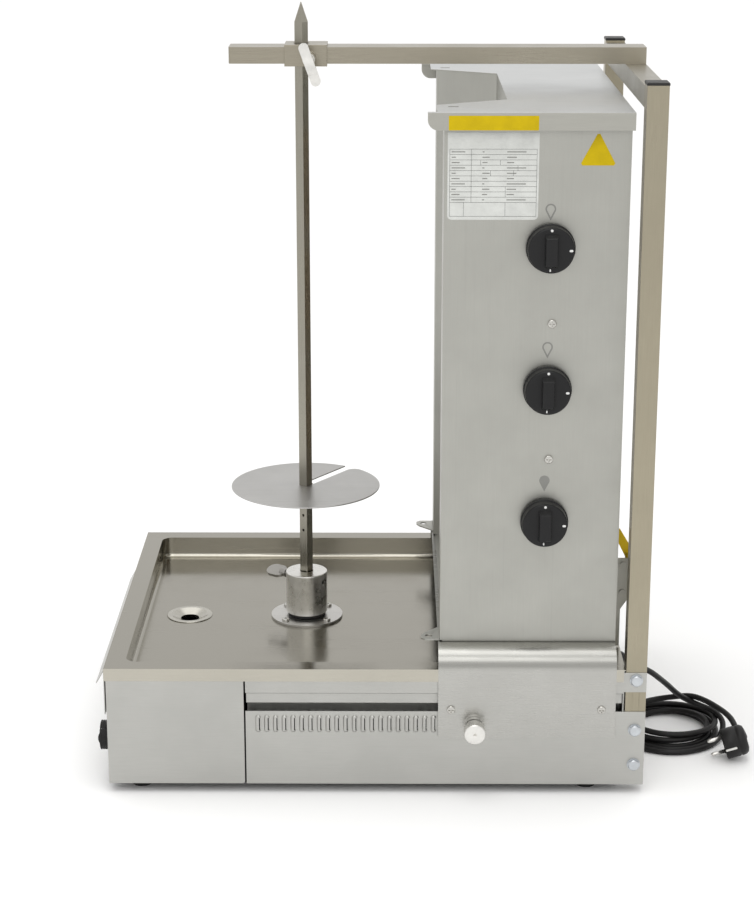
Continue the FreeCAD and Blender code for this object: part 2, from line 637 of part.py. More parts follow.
# ---- burner tower ----
def tower_side(with_controls):
    panel = box(TOWER_X0, TOWER_X1, TOWER_Y0, TOWER_Y0 + SHEET, TOWER_Z0, TOWER_Z1)
    holes = [rod(2.5, 6, PANEL_SCREW_X, TOWER_Y0 - 2, z, ALONG_Y) for z in PANEL_SCREW_Z]
    if with_controls:
        holes += [rod(5.5, 6, KNOB_X, TOWER_Y0 - 2, z, ALONG_Y) for z in KNOB_Z]
        return panel.cut(holes)
    return mirrored(panel.cut(holes))


def tower_back():
    """Back sheet, the floor that stands on the carriage deck and the gas cock's bracket."""
    y0 = TOWER_Y0 + SHEET
    y1 = BASE_W - y0
    back = box(TOWER_X1 - SHEET, TOWER_X1, y0, y1, DECK_Z, TOWER_Z1)
    floor = box(TOWER_X0 + 3, TOWER_X1 - SHEET, y0, y1, DECK_Z, DECK_Z + SHEET)
    floor = floor.cut(box(500, 600, 150, 350, DECK_Z - 1, DECK_Z + 3))
    vents = [box(TOWER_X1 - 4, TOWER_X1 + 1, 150 + 14 * k, 155 + 14 * k, z, z + 70)
             for k in range(15) for z in (300, 640)]
    pipe = rod(11, 8, TOWER_X1 - 5, PIPE_Y, PIPE_Z, ALONG_X)
    reach = [(0, 166), (10, 166), (10, 214), (18, 226), (18, 280), (0, 280)]
    bracket = prism([(TOWER_X1 + out, 72, z) for out, z in reach], Vector(0, 3, 0))
    rivets = [rod(4, 2, TOWER_X1 + 12, 70, z, ALONG_Y) for z in (236, 272)]
    flange = box(TOWER_X1, TOWER_X1 + 2, 60, 72, 200, 280)
    return back.fuse([floor, bracket, flange] + rivets).cut(vents + [pipe])


def recess_edge(x):
    """Half width of the burner recess at x, between its wide front and the burners."""
    front = MID_Y - TOWER_Y0 - WING_W
    share = (x - TOWER_X0) / (BURNER_X - TOWER_X0)
    return front + (BURNER_W / 2 - front) * share


def tower_cover():
    """Lid with a lip on three sides and the recess cut out of its front."""
    x0 = TOWER_X0 - 8
    x1 = TOWER_X1 + 2
    y0 = 11.0
    top = box(x0, x1, y0, BASE_W - y0, COVER_Z - SHEET, COVER_Z)
    wide = recess_edge(x0 - 1)
    narrow = BURNER_W / 2
    low = COVER_Z - 9
    recess = [(x0 - 1, MID_Y - wide, low), (BURNER_X, MID_Y - narrow, low), (BURNER_X, MID_Y + narrow, low),
              (x0 - 1, MID_Y + wide, low)]
    top = top.cut(prism(recess, Vector(0, 0, 20)))
    nose = 12.0
    lip = box(x0 - 11, x1, y0, y0 + SHEET, COVER_Z - COVER_LIP, COVER_Z)
    corner = box(x0 - 12, x0 - 11 + nose, y0 - 1, y0 + 2, COVER_Z - COVER_LIP - 1, COVER_Z - COVER_LIP + nose)
    corner = corner.cut(rod(nose, 5, x0 - 11 + nose, y0 - 1, COVER_Z - COVER_LIP + nose, ALONG_Y))
    lip = lip.cut(corner)
    wing = box(x0 - 11, x0, y0, y0 + 9, COVER_Z - SHEET, COVER_Z)
    rear = box(x1 - SHEET, x1, y0, BASE_W - y0, COVER_Z - COVER_LIP, COVER_Z)
    slot = box(410, 422, 60, 66, COVER_Z - 5, COVER_Z + 5)
    body = top.fuse([lip, mirrored(lip), wing, mirrored(wing), rear])
    return body.cut([slot, mirrored(slot)]).removeSplitter()


def reflector(side):
    """Front flange of the tower and the slanted wall in towards the burners."""
    y_out = TOWER_Y0 + SHEET
    y_in = MID_Y - recess_edge(TOWER_X0)
    y_end = MID_Y - BURNER_W / 2
    low, high = DECK_Z + SHEET, COVER_Z - SHEET
    sheet = prism([(TOWER_X0, y_out, low), (TOWER_X0, y_in, low), (BURNER_X, y_end, low),
                   (BURNER_X, y_end - SHEET, low), (TOWER_X0 + SHEET, y_in - SHEET, low),
                   (TOWER_X0 + SHEET, y_out, low)], Vector(0, 0, high - low))
    return sheet if side > 0 else mirrored(sheet)


def reflectors():
    """Both slanted walls and the back plate with one window for each burner."""
    y0 = MID_Y - BURNER_W / 2 - 8
    back = box(BURNER_X, BURNER_X + SHEET, y0, BASE_W - y0, DECK_Z + SHEET, COVER_Z - SHEET)
    windows = [burner_box(z, -1, 3, -8) for z in KNOB_Z]
    return Part.makeCompound([reflector(1), reflector(-1), back.cut(windows)])


def burner_box(z, front, back, grow):
    """Block behind one burner's window; grow widens it on all four sides."""
    half_w = BURNER_W / 2 + grow
    half_h = BURNER_H / 2 + grow
    return box(BURNER_X + front, BURNER_X + back, MID_Y - half_w, MID_Y + half_w, z - half_h, z + half_h)


def burner_bodies():
    bodies = []
    for z in KNOB_Z:
        body = burner_box(z, SHEET, 48, -2)
        bodies.append(body.cut([burner_box(z, 0, 10, -8), burner_box(z, 9, 45, -14)]))
    return Part.makeCompound(bodies)


def burner_tiles():
    return Part.makeCompound([burner_box(z, -2, 9.8, -8.2) for z in KNOB_Z])


def burner_guards():
    """Grid in front of each tile, on four legs."""
    columns, rows = 16, 10
    rim = 3.0
    wire = 2.0
    pitch_y = (BURNER_W - 8 - 2 * rim + wire) / columns
    pitch_z = (BURNER_H - 8 - 2 * rim + wire) / rows
    guards = []
    for z in KNOB_Z:
        low_y = MID_Y - BURNER_W / 2 + 4 + rim
        low_z = z - BURNER_H / 2 + 4 + rim
        windows = [box(BURNER_X - 9, BURNER_X - 4, low_y + pitch_y * i, low_y + pitch_y * (i + 1) - wire,
                       low_z + pitch_z * k, low_z + pitch_z * (k + 1) - wire)
                   for i in range(columns) for k in range(rows)]
        legs = [box(BURNER_X - 6, BURNER_X, MID_Y + sy * 119.5 - 1, MID_Y + sy * 119.5 + 1,
                    z + sz * 60 - 2, z + sz * 60 + 2) for sy in (-1, 1) for sz in (-1, 1)]
        guards.append(burner_box(z, -8, -5.6, -4).cut(windows).fuse(legs))
    return Part.makeCompound(guards)


def gas_valve(z):
    """Tap behind one knob, with the pipe that feeds its burner."""
    body = rod(13, PIPE_Y - 10 - 34, KNOB_X, 34, z, ALONG_Y)
    stub = rod(5, 18, KNOB_X - 24, 56, z, ALONG_X)
    feed = rod(5, MID_Y - BURNER_W / 2 + 2 - 56, KNOB_X - 20, 56, z, ALONG_Y)
    return body.fuse([stub, feed]).cut(rod(4 + FIT, 27, KNOB_X, 34, z, ALONG_Y))


def gas_manifold():
    upright = rod(10, 450, KNOB_X, PIPE_Y, PIPE_Z)
    level = rod(10, 96, KNOB_X, PIPE_Y, PIPE_Z, ALONG_X)
    cap = Part.makeSphere(10, Vector(KNOB_X, PIPE_Y, PIPE_Z))
    nipple = rod(9, 8, KNOB_X + 92, PIPE_Y, PIPE_Z, ALONG_X)
    return upright.fuse([level, cap, nipple]).removeSplitter()


def gas_cock():
    """Shut-off cock with a female thread at its rear end, where the gas hose goes on."""
    x0 = KNOB_X + 100
    front = hexagon(27, 12, x0, PIPE_Y, PIPE_Z, ALONG_X)
    middle = Part.makeSphere(16, Vector(642, PIPE_Y, PIPE_Z)).common(rod(16, 40, x0, PIPE_Y, PIPE_Z, ALONG_X))
    rear = hexagon(27, 12, COCK_END - 12, PIPE_Y, PIPE_Z, ALONG_X)
    barrel = rod(11, COCK_END - x0, x0, PIPE_Y, PIPE_Z, ALONG_X)
    neck = rod(7, 24, 642, PIPE_Y, PIPE_Z)
    thread = rod(9.3, 15, COCK_END - 15, PIPE_Y, PIPE_Z, ALONG_X)
    stem_bore = rod(3 + FIT, 14, 642, PIPE_Y, PIPE_Z + 12)
    return barrel.fuse([front, middle, rear, neck]).cut([thread, stem_bore])


def cock_lever():
    """Butterfly handle of the gas cock."""
    z = PIPE_Z + 24.4
    hub = rod(8, 8, 642, PIPE_Y, z)
    stem = rod(3, 12, 642, PIPE_Y, z - 11)
    wing = prism([(634, PIPE_Y - 2.5, z + 2), (650, PIPE_Y - 2.5, z + 2), (661, PIPE_Y - 2.5, z + 24),
                  (663, PIPE_Y - 2.5, z + 36), (657, PIPE_Y - 2.5, z + 37), (642, PIPE_Y - 2.5, z + 12),
                  (627, PIPE_Y - 2.5, z + 37), (621, PIPE_Y - 2.5, z + 36), (623, PIPE_Y - 2.5, z + 24)],
                 Vector(0, 5, 0))
    return hub.fuse([stem, wing])


def valve_spindle(z):
    """Spindle with a flat for its knob, which slides on it when it is pushed in."""
    spindle = rod(SPINDLE_R, 60 - SPINDLE_TIP, KNOB_X, SPINDLE_TIP, z, ALONG_Y)
    return spindle.cut(box(KNOB_X - 5, KNOB_X + 5, 1, FLAT_END + KNOB_PUSH + 1, z + FLAT_Z, z + 5))


def knob(z):
    """Gas knob: a skirt, a drum with a rounded rim and a short grip bar across its face."""
    skirt_y, face, grip_face = 16.0, 4.0, -4.0
    skirt = rod(28.5, 5, KNOB_X, skirt_y, z, ALONG_Y)
    skirt = rounded_edges(skirt, 1.5, lambda edge: edge.BoundBox.YMax < skirt_y + 0.1)
    drum = Part.makeCone(26.6, 27.4, skirt_y - face, Vector(KNOB_X, face, z), ALONG_Y)
    drum = rounded_edges(drum, 2.5, lambda edge: edge.BoundBox.YMax < face + 0.1)
    side = [(grip_face, z - 17), (grip_face, z + 15), (face + 1, z + 20), (face + 1, z - 20)]
    grip = prism([(KNOB_X - 7, y, level) for y, level in side], Vector(14, 0, 0))
    grip = rounded_edges(grip, 2, lambda edge: edge.BoundBox.YMax < grip_face + 0.1)
    bore = rod(SPINDLE_R + FIT, 22, KNOB_X, SPINDLE_TIP - KNOB_PUSH - 0.4, z, ALONG_Y)
    flat = box(KNOB_X - 5, KNOB_X + 5, 0, FLAT_END, z + FLAT_Z + FIT, z + 5)
    relief = ring(22, 9, 9, KNOB_X, 12, z, ALONG_Y)
    return skirt.fuse([drum, grip]).cut([bore.cut(flat), relief])


def shield_ear():
    """Lug at the tower's foot with the pivot hole of a heat shield."""
    tip = TOWER_X0 - 23
    outline = [(TOWER_X0, 27), (TOWER_X0, 68), (tip + 4, 48), (tip, 40), (tip, 32), (tip + 5, 27)]
    ear = prism([(x, y, EAR_Z) for x, y in outline], Vector(0, 0, 2))
    return ear.cut(rod(EAR_HOLE_R, 4, EAR_X, EAR_Y, EAR_Z - 1))


# ---- electrical parts ----
def switch_bezel():
    """Round switch body with a ribbed collar outside the panel."""
    y, z = SWITCH_Y, SWITCH_Z
    flange = rod(21.5, 2.5, -2.5, y, z, ALONG_X)
    collar = rod(17.2, 11, -13.5, y, z, ALONG_X)
    ribs = [rod(18.2, 1.4, -13.2 + 2.7 * k, y, z, ALONG_X) for k in range(4)]
    barrel = rod(16, 24, 0, y, z, ALONG_X)
    body = flange.fuse([collar, barrel] + ribs)
    well = rod(13.4, 23.6, -3, y - 11.8, z, ALONG_Y)
    mouth = box(-14, -3, y - 11.8, y + 11.8, z - 13.4, z + 13.4)
    pivot = rod(2, 27, -3, y - 13.5, z, ALONG_Y)
    return body.cut([well, mouth, pivot])


def switch_rocker():
    """Rocker that turns on its own pin across the switch body."""
    y, z = SWITCH_Y, SWITCH_Z
    drum = rod(13, 23, -3, y - 11.5, z, ALONG_Y).cut(box(-2, 20, y - 20, y + 20, z - 20, z + 20))
    dish = rod(20, 19, -32, y - 9.5, z, ALONG_Y)
    pin = rod(2 - FIT, 26.6, -3, y - 13.3, z, ALONG_Y)
    return drum.cut(dish).fuse(pin)


def cord_gland():
    """Clamping nut on the rear panel and the drooping bend relief of the mains cord."""
    nut = hexagon(20, 7, BODY_L, GLAND_Y, GLAND_Z, ALONG_X)
    thread = rod(GLAND_THREAD_R, 12, BODY_L - 9, GLAND_Y, GLAND_Z, ALONG_X)
    inner_nut = hexagon(20, 4, BODY_L - SHEET - 4, GLAND_Y, GLAND_Z, ALONG_X)
    dome = Part.makeSphere(8.2, Vector(BODY_L + 7, GLAND_Y, GLAND_Z))
    boot = Part.makeCone(7.6, 4.9, RELIEF_L, RELIEF_START, RELIEF_AXIS)
    return nut.fuse([thread, inner_nut, dome, boot]).removeSplitter()


def cord_tube(points):
    """Round tube along straight runs joined by arcs as large as the runs allow."""
    corners = [Vector(*point) for point in points]
    edges = []
    start = corners[0]
    for before, corner, after in zip(corners, corners[1:], corners[2:]):
        run_in = (corner - before).normalize()
        run_out = (after - corner).normalize()
        half_turn = run_in.getAngle(run_out) / 2
        shorter = min((corner - before).Length, (after - corner).Length)
        setback = 0.45 * shorter
        radius = setback / math.tan(half_turn)
        print("cord bend radius %.0f mm, turn %.0f degrees" % (radius, math.degrees(2 * half_turn)))
        bisector = (run_out - run_in).normalize()
        middle = corner + bisector * (radius / math.cos(half_turn) - radius)
        arc_in = corner - run_in * setback
        arc_out = corner + run_out * setback
        edges.append(Part.LineSegment(start, arc_in).toShape())
        edges.append(Part.Arc(arc_in, middle, arc_out).toShape())
        start = arc_out
    edges.append(Part.LineSegment(start, corners[-1]).toShape())
    path = Part.Wire(edges)
    first = (corners[1] - corners[0]).normalize()
    section = Part.Wire(Part.makeCircle(CORD_D / 2, corners[0], first))
    tube = path.makePipeShell([section], True, True)
    expected = math.pi * CORD_D ** 2 / 4 * path.Length
    print("cord tube length %.0f mm, volume ratio %.4f" % (path.Length, tube.Volume / expected))
    return tube


def cord_coil():
    """Outer shape of the loose coil that lies on the floor behind the machine."""
    height = 21.0

    def oval(half_x, half_y):
        turn = Vector(0, 1, 0) if half_y > half_x else Vector(1, 0, 0)
        major, minor = max(half_x, half_y), min(half_x, half_y)
        centre = Vector(COIL_X, COIL_Y, 0)
        side = Vector(0, 0, 1).cross(turn)
        curve = Part.Ellipse(centre + turn * major, centre + side * minor, centre)
        return Part.Face(Part.Wire(curve.toShape())).extrude(Vector(0, 0, height))

    return oval(COIL_HALF_X, COIL_HALF_Y).cut(oval(COIL_HOLE_X, COIL_HOLE_Y))


def mains_plug():
    """Angled two-pin plug with earth clips, lying on its edge."""
    radius = 19.5
    body = Part.makeCylinder(radius, 30, PLUG_FACE, PLUG_BACK)
    body = rounded_edges(body, 4, lambda edge: edge.CenterOfMass.sub(PLUG_FACE).dot(PLUG_BACK) > 29)
    exit_base = PLUG_FACE + PLUG_BACK * 21
    boot = Part.makeCone(8.5, 5.2, 26, exit_base, PLUG_EXIT)
    block = Part.makeCylinder(9, 14, exit_base, PLUG_EXIT)
    pins = []
    for side in (-1, 1):
        root = PLUG_FACE + PLUG_RISE * (side * 9.5)
        pins.append(Part.makeCylinder(2.4, 19, root, PLUG_BACK * -1))
    clips = []
    for side in (-1, 1):
        centre = PLUG_FACE + ALONG_Y * (side * (radius - 1.2)) + PLUG_BACK * 2
        clip = Part.makeBox(14, 2.4, 5, Vector(-2, -1.2, -2.5))
        clip.Placement = FreeCAD.Placement(centre, Rotation(ALONG_X, PLUG_BACK))
        clips.append(clip)
    return body.fuse([boot, block] + pins + clips).removeSplitter()


# ---- places that follow from the driving dimensions ----
BOLT_Z = (39.0, 84.5, 149.6)
BOLT_HOLE_R = 4.2
STRIP_TOP = 160.0
LINER_Y = 18.0         # inner wall behind the rail
RAIL_X = (PANEL_X + 1, BODY_L - 2)
LOUVRE_X = 184.3       # first louvre
LOUVRE_PITCH = 10.67
LOUVRE_REACH = 2.2     # hoods ahead of the side panel
SCREW_R = 2.4
MOTOR_Z = 70.0         # seat of the motor flange on its pillars
PILLAR_R = 5.0
PILLAR_GRID = 30.0
SPINDLE_R = 4.0
SPINDLE_TIP = 5.3
KNOB_PUSH = 3.0        # travel of a gas knob
FLAT_Z = 2.6           # height of the spindle's flat above its axis
FLAT_END = 14.0
SWITCH_Y = 42.0
SWITCH_Z = 58.0
DRAIN_X = 80.0
DRAIN_R = 12.0
DISH_R = 24.0          # drain dish at the level of the tray floor
DISH_DEEP = 4.0
SPOUT_Z = 127.5
CLAMP_Z = 188.0
CLAMP_AXIS = Vector(math.cos(math.radians(145)), math.sin(math.radians(145)), 0)
PIN_R = 2.0
PIN_Z = DISC_Z - PIN_R - 0.1
ARM_SCREW_X = 245.0
ARM_SCREW_Z = 868.0
SADDLE_SCREW_X = (418.6, 601.0)
SADDLE_SCREW_Z = 112.6
PANEL_SCREW_X = 532.0
PANEL_SCREW_Z = (586.0, 421.5)
LOCK_X = 447.0
LOCK_Z = 91.0
EAR_X = 392.0
EAR_Y = 38.0
EAR_Z = 190.2
EAR_HOLE_R = 4.2
GLAND_Y = 118.0
GLAND_Z = 131.0
GLAND_THREAD_R = 8.0
DROOP = math.radians(30)
SWING = math.radians(25)
RELIEF_AXIS = Vector(math.cos(DROOP) * math.cos(SWING), math.cos(DROOP) * math.sin(SWING), -math.sin(DROOP))
RELIEF_START = Vector(BODY_L + 7, GLAND_Y, GLAND_Z)
RELIEF_L = 26.0
CORD_EXIT = RELIEF_START + RELIEF_AXIS * RELIEF_L
COIL_X = 709.0
COIL_Y = 182.0
COIL_HALF_X = 74.0
COIL_HALF_Y = 80.0
COIL_HOLE_X = 46.0
COIL_HOLE_Y = 24.0
PLUG_TILT = math.radians(17)
PLUG_BACK = Vector(math.cos(PLUG_TILT), 0, math.sin(PLUG_TILT))
PLUG_RISE = Vector(-math.sin(PLUG_TILT), 0, math.cos(PLUG_TILT))
PLUG_FACE = Vector(762, 82, 19.4)
PLUG_EXIT = ALONG_Y * math.cos(math.radians(12)) + PLUG_RISE * math.sin(math.radians(12))
PLUG_CORD = PLUG_FACE + PLUG_BACK * 21 + PLUG_EXIT * 26

# The cord from the gland down to the coil, and from the plug back over it.
CORD_ROUTE = [CORD_EXIT, CORD_EXIT + RELIEF_AXIS * 26, (690, 158, 88), (704, 182, 69), (719, 205, 49),
              (736, 215, 33), (761, 215, 23.5), (781, 205, 14.5)]
LEAD_ROUTE = [PLUG_CORD, PLUG_CORD + PLUG_EXIT * 26, (783, 157, 35), (779, 181, 32), (765, 198, 29),
              (743, 206, 26.5), (718, 208, 24), (697, 214, 18)]


def main():
    os.makedirs("parts", exist_ok=True)
    feet = [foot(x, y) for x in (37.5, 587) for y in (29, BASE_W - 29)]
    pieces = {
        "base_pan": base_pan(),
        "front_cover": front_cover(),
        "side_panels": pair(side_panel()),
        "upper_side_strips": pair(upper_side_strip()),
        "carriage_rails": pair(carriage_rail()),
        "rear_panel": rear_panel(),
        "tray_pan": tray_pan(),
        "drain_fitting": drain_fitting(),
        "grease_drawer": grease_drawer(),
        "feet": Part.makeCompound(feet),
        "bearing_housing": bearing_housing(),
        "flange_screws": flange_screws(),
        "shaft_bearings": shaft_bearings(),
        "seal_ring": seal_ring(),
        "drive_shaft": drive_shaft(),
        "drive_gear": drive_gear(),
        "motor_pinion": motor_pinion(),
        "drive_motor": drive_motor(),
        "spit_socket": spit_socket(),
        "socket_screw": socket_screw(),
        "spit_bar": spit_bar(),
        "disc_pin": disc_pin(),
        "meat_disc": meat_disc(),
        "posts": pair(post()),
        "cross_bar": cross_bar(),
        "post_caps": pair(post_cap()),
        "post_bolts": post_bolts(),
        "top_arm": top_arm(),
        "arm_sleeve": arm_sleeve(),
        "arm_screw": arm_screw(),
        "carriage_saddle": carriage_saddle(),
        "slide_blocks": slide_blocks(),
        "carriage_screws": carriage_screws(),
        "lock_knob": lock_knob(),
        "tower_side_near": tower_side(True),
        "tower_side_far": tower_side(False),
        "tower_back": tower_back(),
        "tower_cover": tower_cover(),
        "reflectors": reflectors(),
        "burner_bodies": burner_bodies(),
        "burner_tiles": burner_tiles(),
        "burner_guards": burner_guards(),
        "gas_valves": Part.makeCompound([gas_valve(z) for z in KNOB_Z]),
        "gas_manifold": gas_manifold(),
        "gas_cock": gas_cock(),
        "cock_lever": cock_lever(),
        "shield_ears": pair(shield_ear()),
        "switch_bezel": switch_bezel(),
        "switch_rocker": switch_rocker(),
        "cord_gland": cord_gland(),
        "mains_cord": cord_tube(CORD_ROUTE),
        "plug_lead": cord_tube(LEAD_ROUTE),
        "cord_coil": cord_coil(),
        "mains_plug": mains_plug(),
    }
    for name, z in zip(KNOB_NAMES, KNOB_Z):
        pieces["spindle_" + name] = valve_spindle(z)
        pieces["knob_" + name] = knob(z)
    for name, shape in pieces.items():
        save(name, shape)
    print("%d nodes, origin at %s" % (len(pieces), ORIGIN))


main()
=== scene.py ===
import math

import bmesh
import bpy
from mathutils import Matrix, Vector


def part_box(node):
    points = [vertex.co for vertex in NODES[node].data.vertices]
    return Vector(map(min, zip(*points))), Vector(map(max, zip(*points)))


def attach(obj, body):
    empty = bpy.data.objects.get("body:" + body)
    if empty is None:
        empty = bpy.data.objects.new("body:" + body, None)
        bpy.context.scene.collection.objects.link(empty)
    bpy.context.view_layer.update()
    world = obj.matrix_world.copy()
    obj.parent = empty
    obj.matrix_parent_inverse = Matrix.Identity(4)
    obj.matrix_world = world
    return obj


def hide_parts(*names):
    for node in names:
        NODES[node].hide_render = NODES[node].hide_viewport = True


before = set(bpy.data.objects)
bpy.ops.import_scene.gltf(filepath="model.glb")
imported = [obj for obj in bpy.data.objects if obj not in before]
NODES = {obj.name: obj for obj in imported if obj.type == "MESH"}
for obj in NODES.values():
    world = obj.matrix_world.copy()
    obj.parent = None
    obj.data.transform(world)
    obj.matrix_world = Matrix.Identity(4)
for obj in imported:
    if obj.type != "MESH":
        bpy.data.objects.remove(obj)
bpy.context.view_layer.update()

FRONT_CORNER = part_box("front_cover")[0]
CORNER = Vector((FRONT_CORNER.x, FRONT_CORNER.y, 0.0))
UP = Vector((0, 0, 1))


def place(x, y, z):
    return CORNER + Vector((x, y, z))


# ---- camera ----
CAMERA_LENS = 85.53                     # millimetres, on a sensor 36 mm high
CAMERA_SPOT = place(0.3419, -2.3948, 1.1640)
CAMERA_TILT = 73.18                     # degrees up from straight down
CAMERA_SWING = 0.31                     # degrees round the vertical


def make_camera():
    """The photograph's viewing angle: square to the control side, looking down a little."""
    data = bpy.data.cameras.new("camera")
    data.sensor_fit = "VERTICAL"
    data.sensor_height = 36.0
    data.lens = CAMERA_LENS
    data.clip_end = 60.0
    camera = bpy.data.objects.new("camera", data)
    camera.location = CAMERA_SPOT
    camera.rotation_euler = (math.radians(CAMERA_TILT), 0.0, math.radians(CAMERA_SWING))
    bpy.context.scene.collection.objects.link(camera)
    bpy.context.scene.camera = camera


# ---- mesh helpers: every piece is built in the part's frame, with its object at the origin ----
def piece_from(bm, name, body, material, smooth=False):
    bmesh.ops.recalc_face_normals(bm, faces=bm.faces)
    mesh = bpy.data.meshes.new(name)
    bm.to_mesh(mesh)
    bm.free()
    for polygon in mesh.polygons:
        polygon.use_smooth = smooth
    piece = bpy.data.objects.new(name, mesh)
    bpy.context.scene.collection.objects.link(piece)
    piece.data.materials.append(material)
    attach(piece, body)
    return piece


def frame_of(axis):
    """Two directions square to axis and to each other."""
    axis = Vector(axis).normalized()
    other = UP if abs(axis.z) < 0.9 else Vector((1, 0, 0))
    across = axis.cross(other).normalized()
    return axis, across, axis.cross(across)


def add_lathe(bm, profile, origin, axis, segments=48):
    """Solid of revolution; profile is (radius, distance along axis) from one end to the other."""
    axis, across, third = frame_of(axis)
    rings = []
    for radius, along in profile:
        centre = Vector(origin) + axis * along
        ring = []
        for k in range(segments):
            turn = 2 * math.pi * k / segments
            point = centre + across * radius * math.cos(turn) + third * radius * math.sin(turn)
            ring.append(bm.verts.new(point))
        rings.append(ring)
    for low, high in zip(rings, rings[1:]):
        for k in range(segments):
            n = (k + 1) % segments
            bm.faces.new((low[k], low[n], high[n], high[k]))
    bm.faces.new(list(reversed(rings[0])))
    bm.faces.new(rings[-1])


def add_plate(bm, outline, origin, right, up, depth):
    """Flat plate from an outline in the plane of right and up, pushed back by depth."""
    right, up = Vector(right), Vector(up)
    back = up.cross(right).normalized() * depth
    front = [bm.verts.new(Vector(origin) + right * u + up * v) for u, v in outline]
    rear = [bm.verts.new(v.co + back) for v in front]
    bm.faces.new(front)
    bm.faces.new(list(reversed(rear)))
    for k in range(len(front)):
        n = (k + 1) % len(front)
        bm.faces.new((front[n], front[k], rear[k], rear[n]))


def rounded_outline(width, height, radii, steps=6):
    """Rectangle centred on the origin; radii run from the lower left corner anticlockwise."""
    corners = [(-1, -1, 180), (1, -1, 270), (1, 1, 0), (-1, 1, 90)]
    points = []
    for (sx, sy, start), radius in zip(corners, radii):
        cx, cy = sx * (width / 2 - radius), sy * (height / 2 - radius)
        for k in range(steps + 1 if radius else 1):
            turn = math.radians(start + 90 * k / steps)
            points.append((cx + radius * math.cos(turn), cy + radius * math.sin(turn)))
    return points


# ---- material helpers ----
def new_material(name, metallic, colour):
    material = bpy.data.materials.new(name)
    material.use_nodes = True
    shader = material.node_tree.nodes["Principled BSDF"]
    shader.inputs["Metallic"].default_value = metallic
    shader.inputs["Base Color"].default_value = (*colour, 1.0)
    return material, material.node_tree, shader


def add_node(tree, kind, **values):
    node = tree.nodes.new(kind)
    for name, value in values.items():
        if hasattr(node, name):
            setattr(node, name, value)
        else:
            node.inputs[name.replace("_", " ").title()].default_value = value
    return node


def noise(tree, size, detail, stretch=(1, 1, 1)):
    """Noise whose features are about size metres across, times stretch along each axis."""
    where = add_node(tree, "ShaderNodeTexCoord")
    mapping = add_node(tree, "ShaderNodeMapping")
    mapping.inputs["Scale"].default_value = [1 / (size * s) for s in stretch]
    source = add_node(tree, "ShaderNodeTexNoise", scale=1.0, detail=detail, roughness=0.6)
    tree.links.new(where.outputs["Object"], mapping.inputs["Vector"])
    tree.links.new(mapping.outputs["Vector"], source.inputs["Vector"])
    return source.outputs["Fac"]


def spread(tree, factor, low, high, start=0.3, end=0.7):
    """Maps a factor's start to end onto low to high."""
    remap = add_node(tree, "ShaderNodeMapRange")
    remap.inputs["From Min"].default_value = start
    remap.inputs["From Max"].default_value = end
    remap.inputs["To Min"].default_value = low
    remap.inputs["To Max"].default_value = high
    tree.links.new(factor, remap.inputs["Value"])
    return remap.outputs["Result"]


def blend_colours(tree, factor, first, second):
    mix = add_node(tree, "ShaderNodeMix", data_type="RGBA")
    colours = [socket for socket in mix.inputs if socket.type == "RGBA"]
    for socket, value in zip(colours, (first, second)):
        if isinstance(value, tuple):
            socket.default_value = (*value, 1.0)
        else:
            tree.links.new(value, socket)
    tree.links.new(factor, mix.inputs["Factor"])
    return [socket for socket in mix.outputs if socket.type == "RGBA"][0]


def add_maths(tree, operation, first, second):
    maths = add_node(tree, "ShaderNodeMath", operation=operation)
    for socket, value in zip(maths.inputs, (first, second)):
        if isinstance(value, (int, float)):
            socket.default_value = value
        else:
            tree.links.new(value, socket)
    return maths.outputs["Value"]


def add_bump(tree, shader, height, distance, strength):
    bump = add_node(tree, "ShaderNodeBump")
    bump.inputs["Strength"].default_value = strength
    bump.inputs["Distance"].default_value = distance
    tree.links.new(height, bump.inputs["Height"])
    tree.links.new(bump.outputs["Normal"], shader.inputs["Normal"])


def shade(colour, factor):
    return tuple(min(1.0, c * factor) for c in colour)


LINE_WIDTH = 0.0006
LINE_DEPTH = 0.00004
SCRATCH_WIDTH = 0.0022
SMEAR_WIDTH = 0.07


def brushed_steel(name, colour, roughness, grain, contrast=0.06, smudge=0.05):
    """Stainless sheet or bar: fine lines along the grain, wide soft smears, faint scratches."""
    material, tree, shader = new_material(name, 1.0, colour)
    lines = noise(tree, LINE_WIDTH, 4.0, grain)
    smears = noise(tree, SMEAR_WIDTH, 3.0)
    scratches = noise(tree, SCRATCH_WIDTH, 2.0, [g * 2.5 for g in grain])
    tone = blend_colours(tree, spread(tree, lines, 0.0, 1.0), shade(colour, 1 - contrast),
                         shade(colour, 1 + contrast))
    tone = blend_colours(tree, spread(tree, smears, 0.0, 0.35), tone, shade(colour, 0.86))
    tree.links.new(tone, shader.inputs["Base Color"])
    rough = add_maths(tree, "ADD", spread(tree, smears, roughness - smudge, roughness + smudge),
                      spread(tree, lines, -0.04, 0.05))
    rough = add_maths(tree, "ADD", rough, spread(tree, scratches, 0.0, 0.08, 0.62, 0.72))
    tree.links.new(rough, shader.inputs["Roughness"])
    add_bump(tree, shader, lines, LINE_DEPTH, 0.35)
    return material


def paint_light_on_upper_faces(material, colour, start=0.7, end=0.9):
    """Gives the faces that look up another colour: painted light where it is lighter, painted shade where it
    is darker.
    """
    tree = material.node_tree
    shader = tree.nodes["Principled BSDF"]
    facing = add_node(tree, "ShaderNodeNewGeometry")
    parts = add_node(tree, "ShaderNodeSeparateXYZ")
    tree.links.new(facing.outputs["Normal"], parts.inputs["Vector"])
    steel = shader.inputs["Base Color"].links[0].from_socket
    # mask of the faces that look up, which take the painted light or painted shade
    upper = spread(tree, parts.outputs["Z"], 0.0, 1.0, start, end)
    tree.links.new(blend_colours(tree, upper, steel, colour), shader.inputs["Base Color"])
    return material


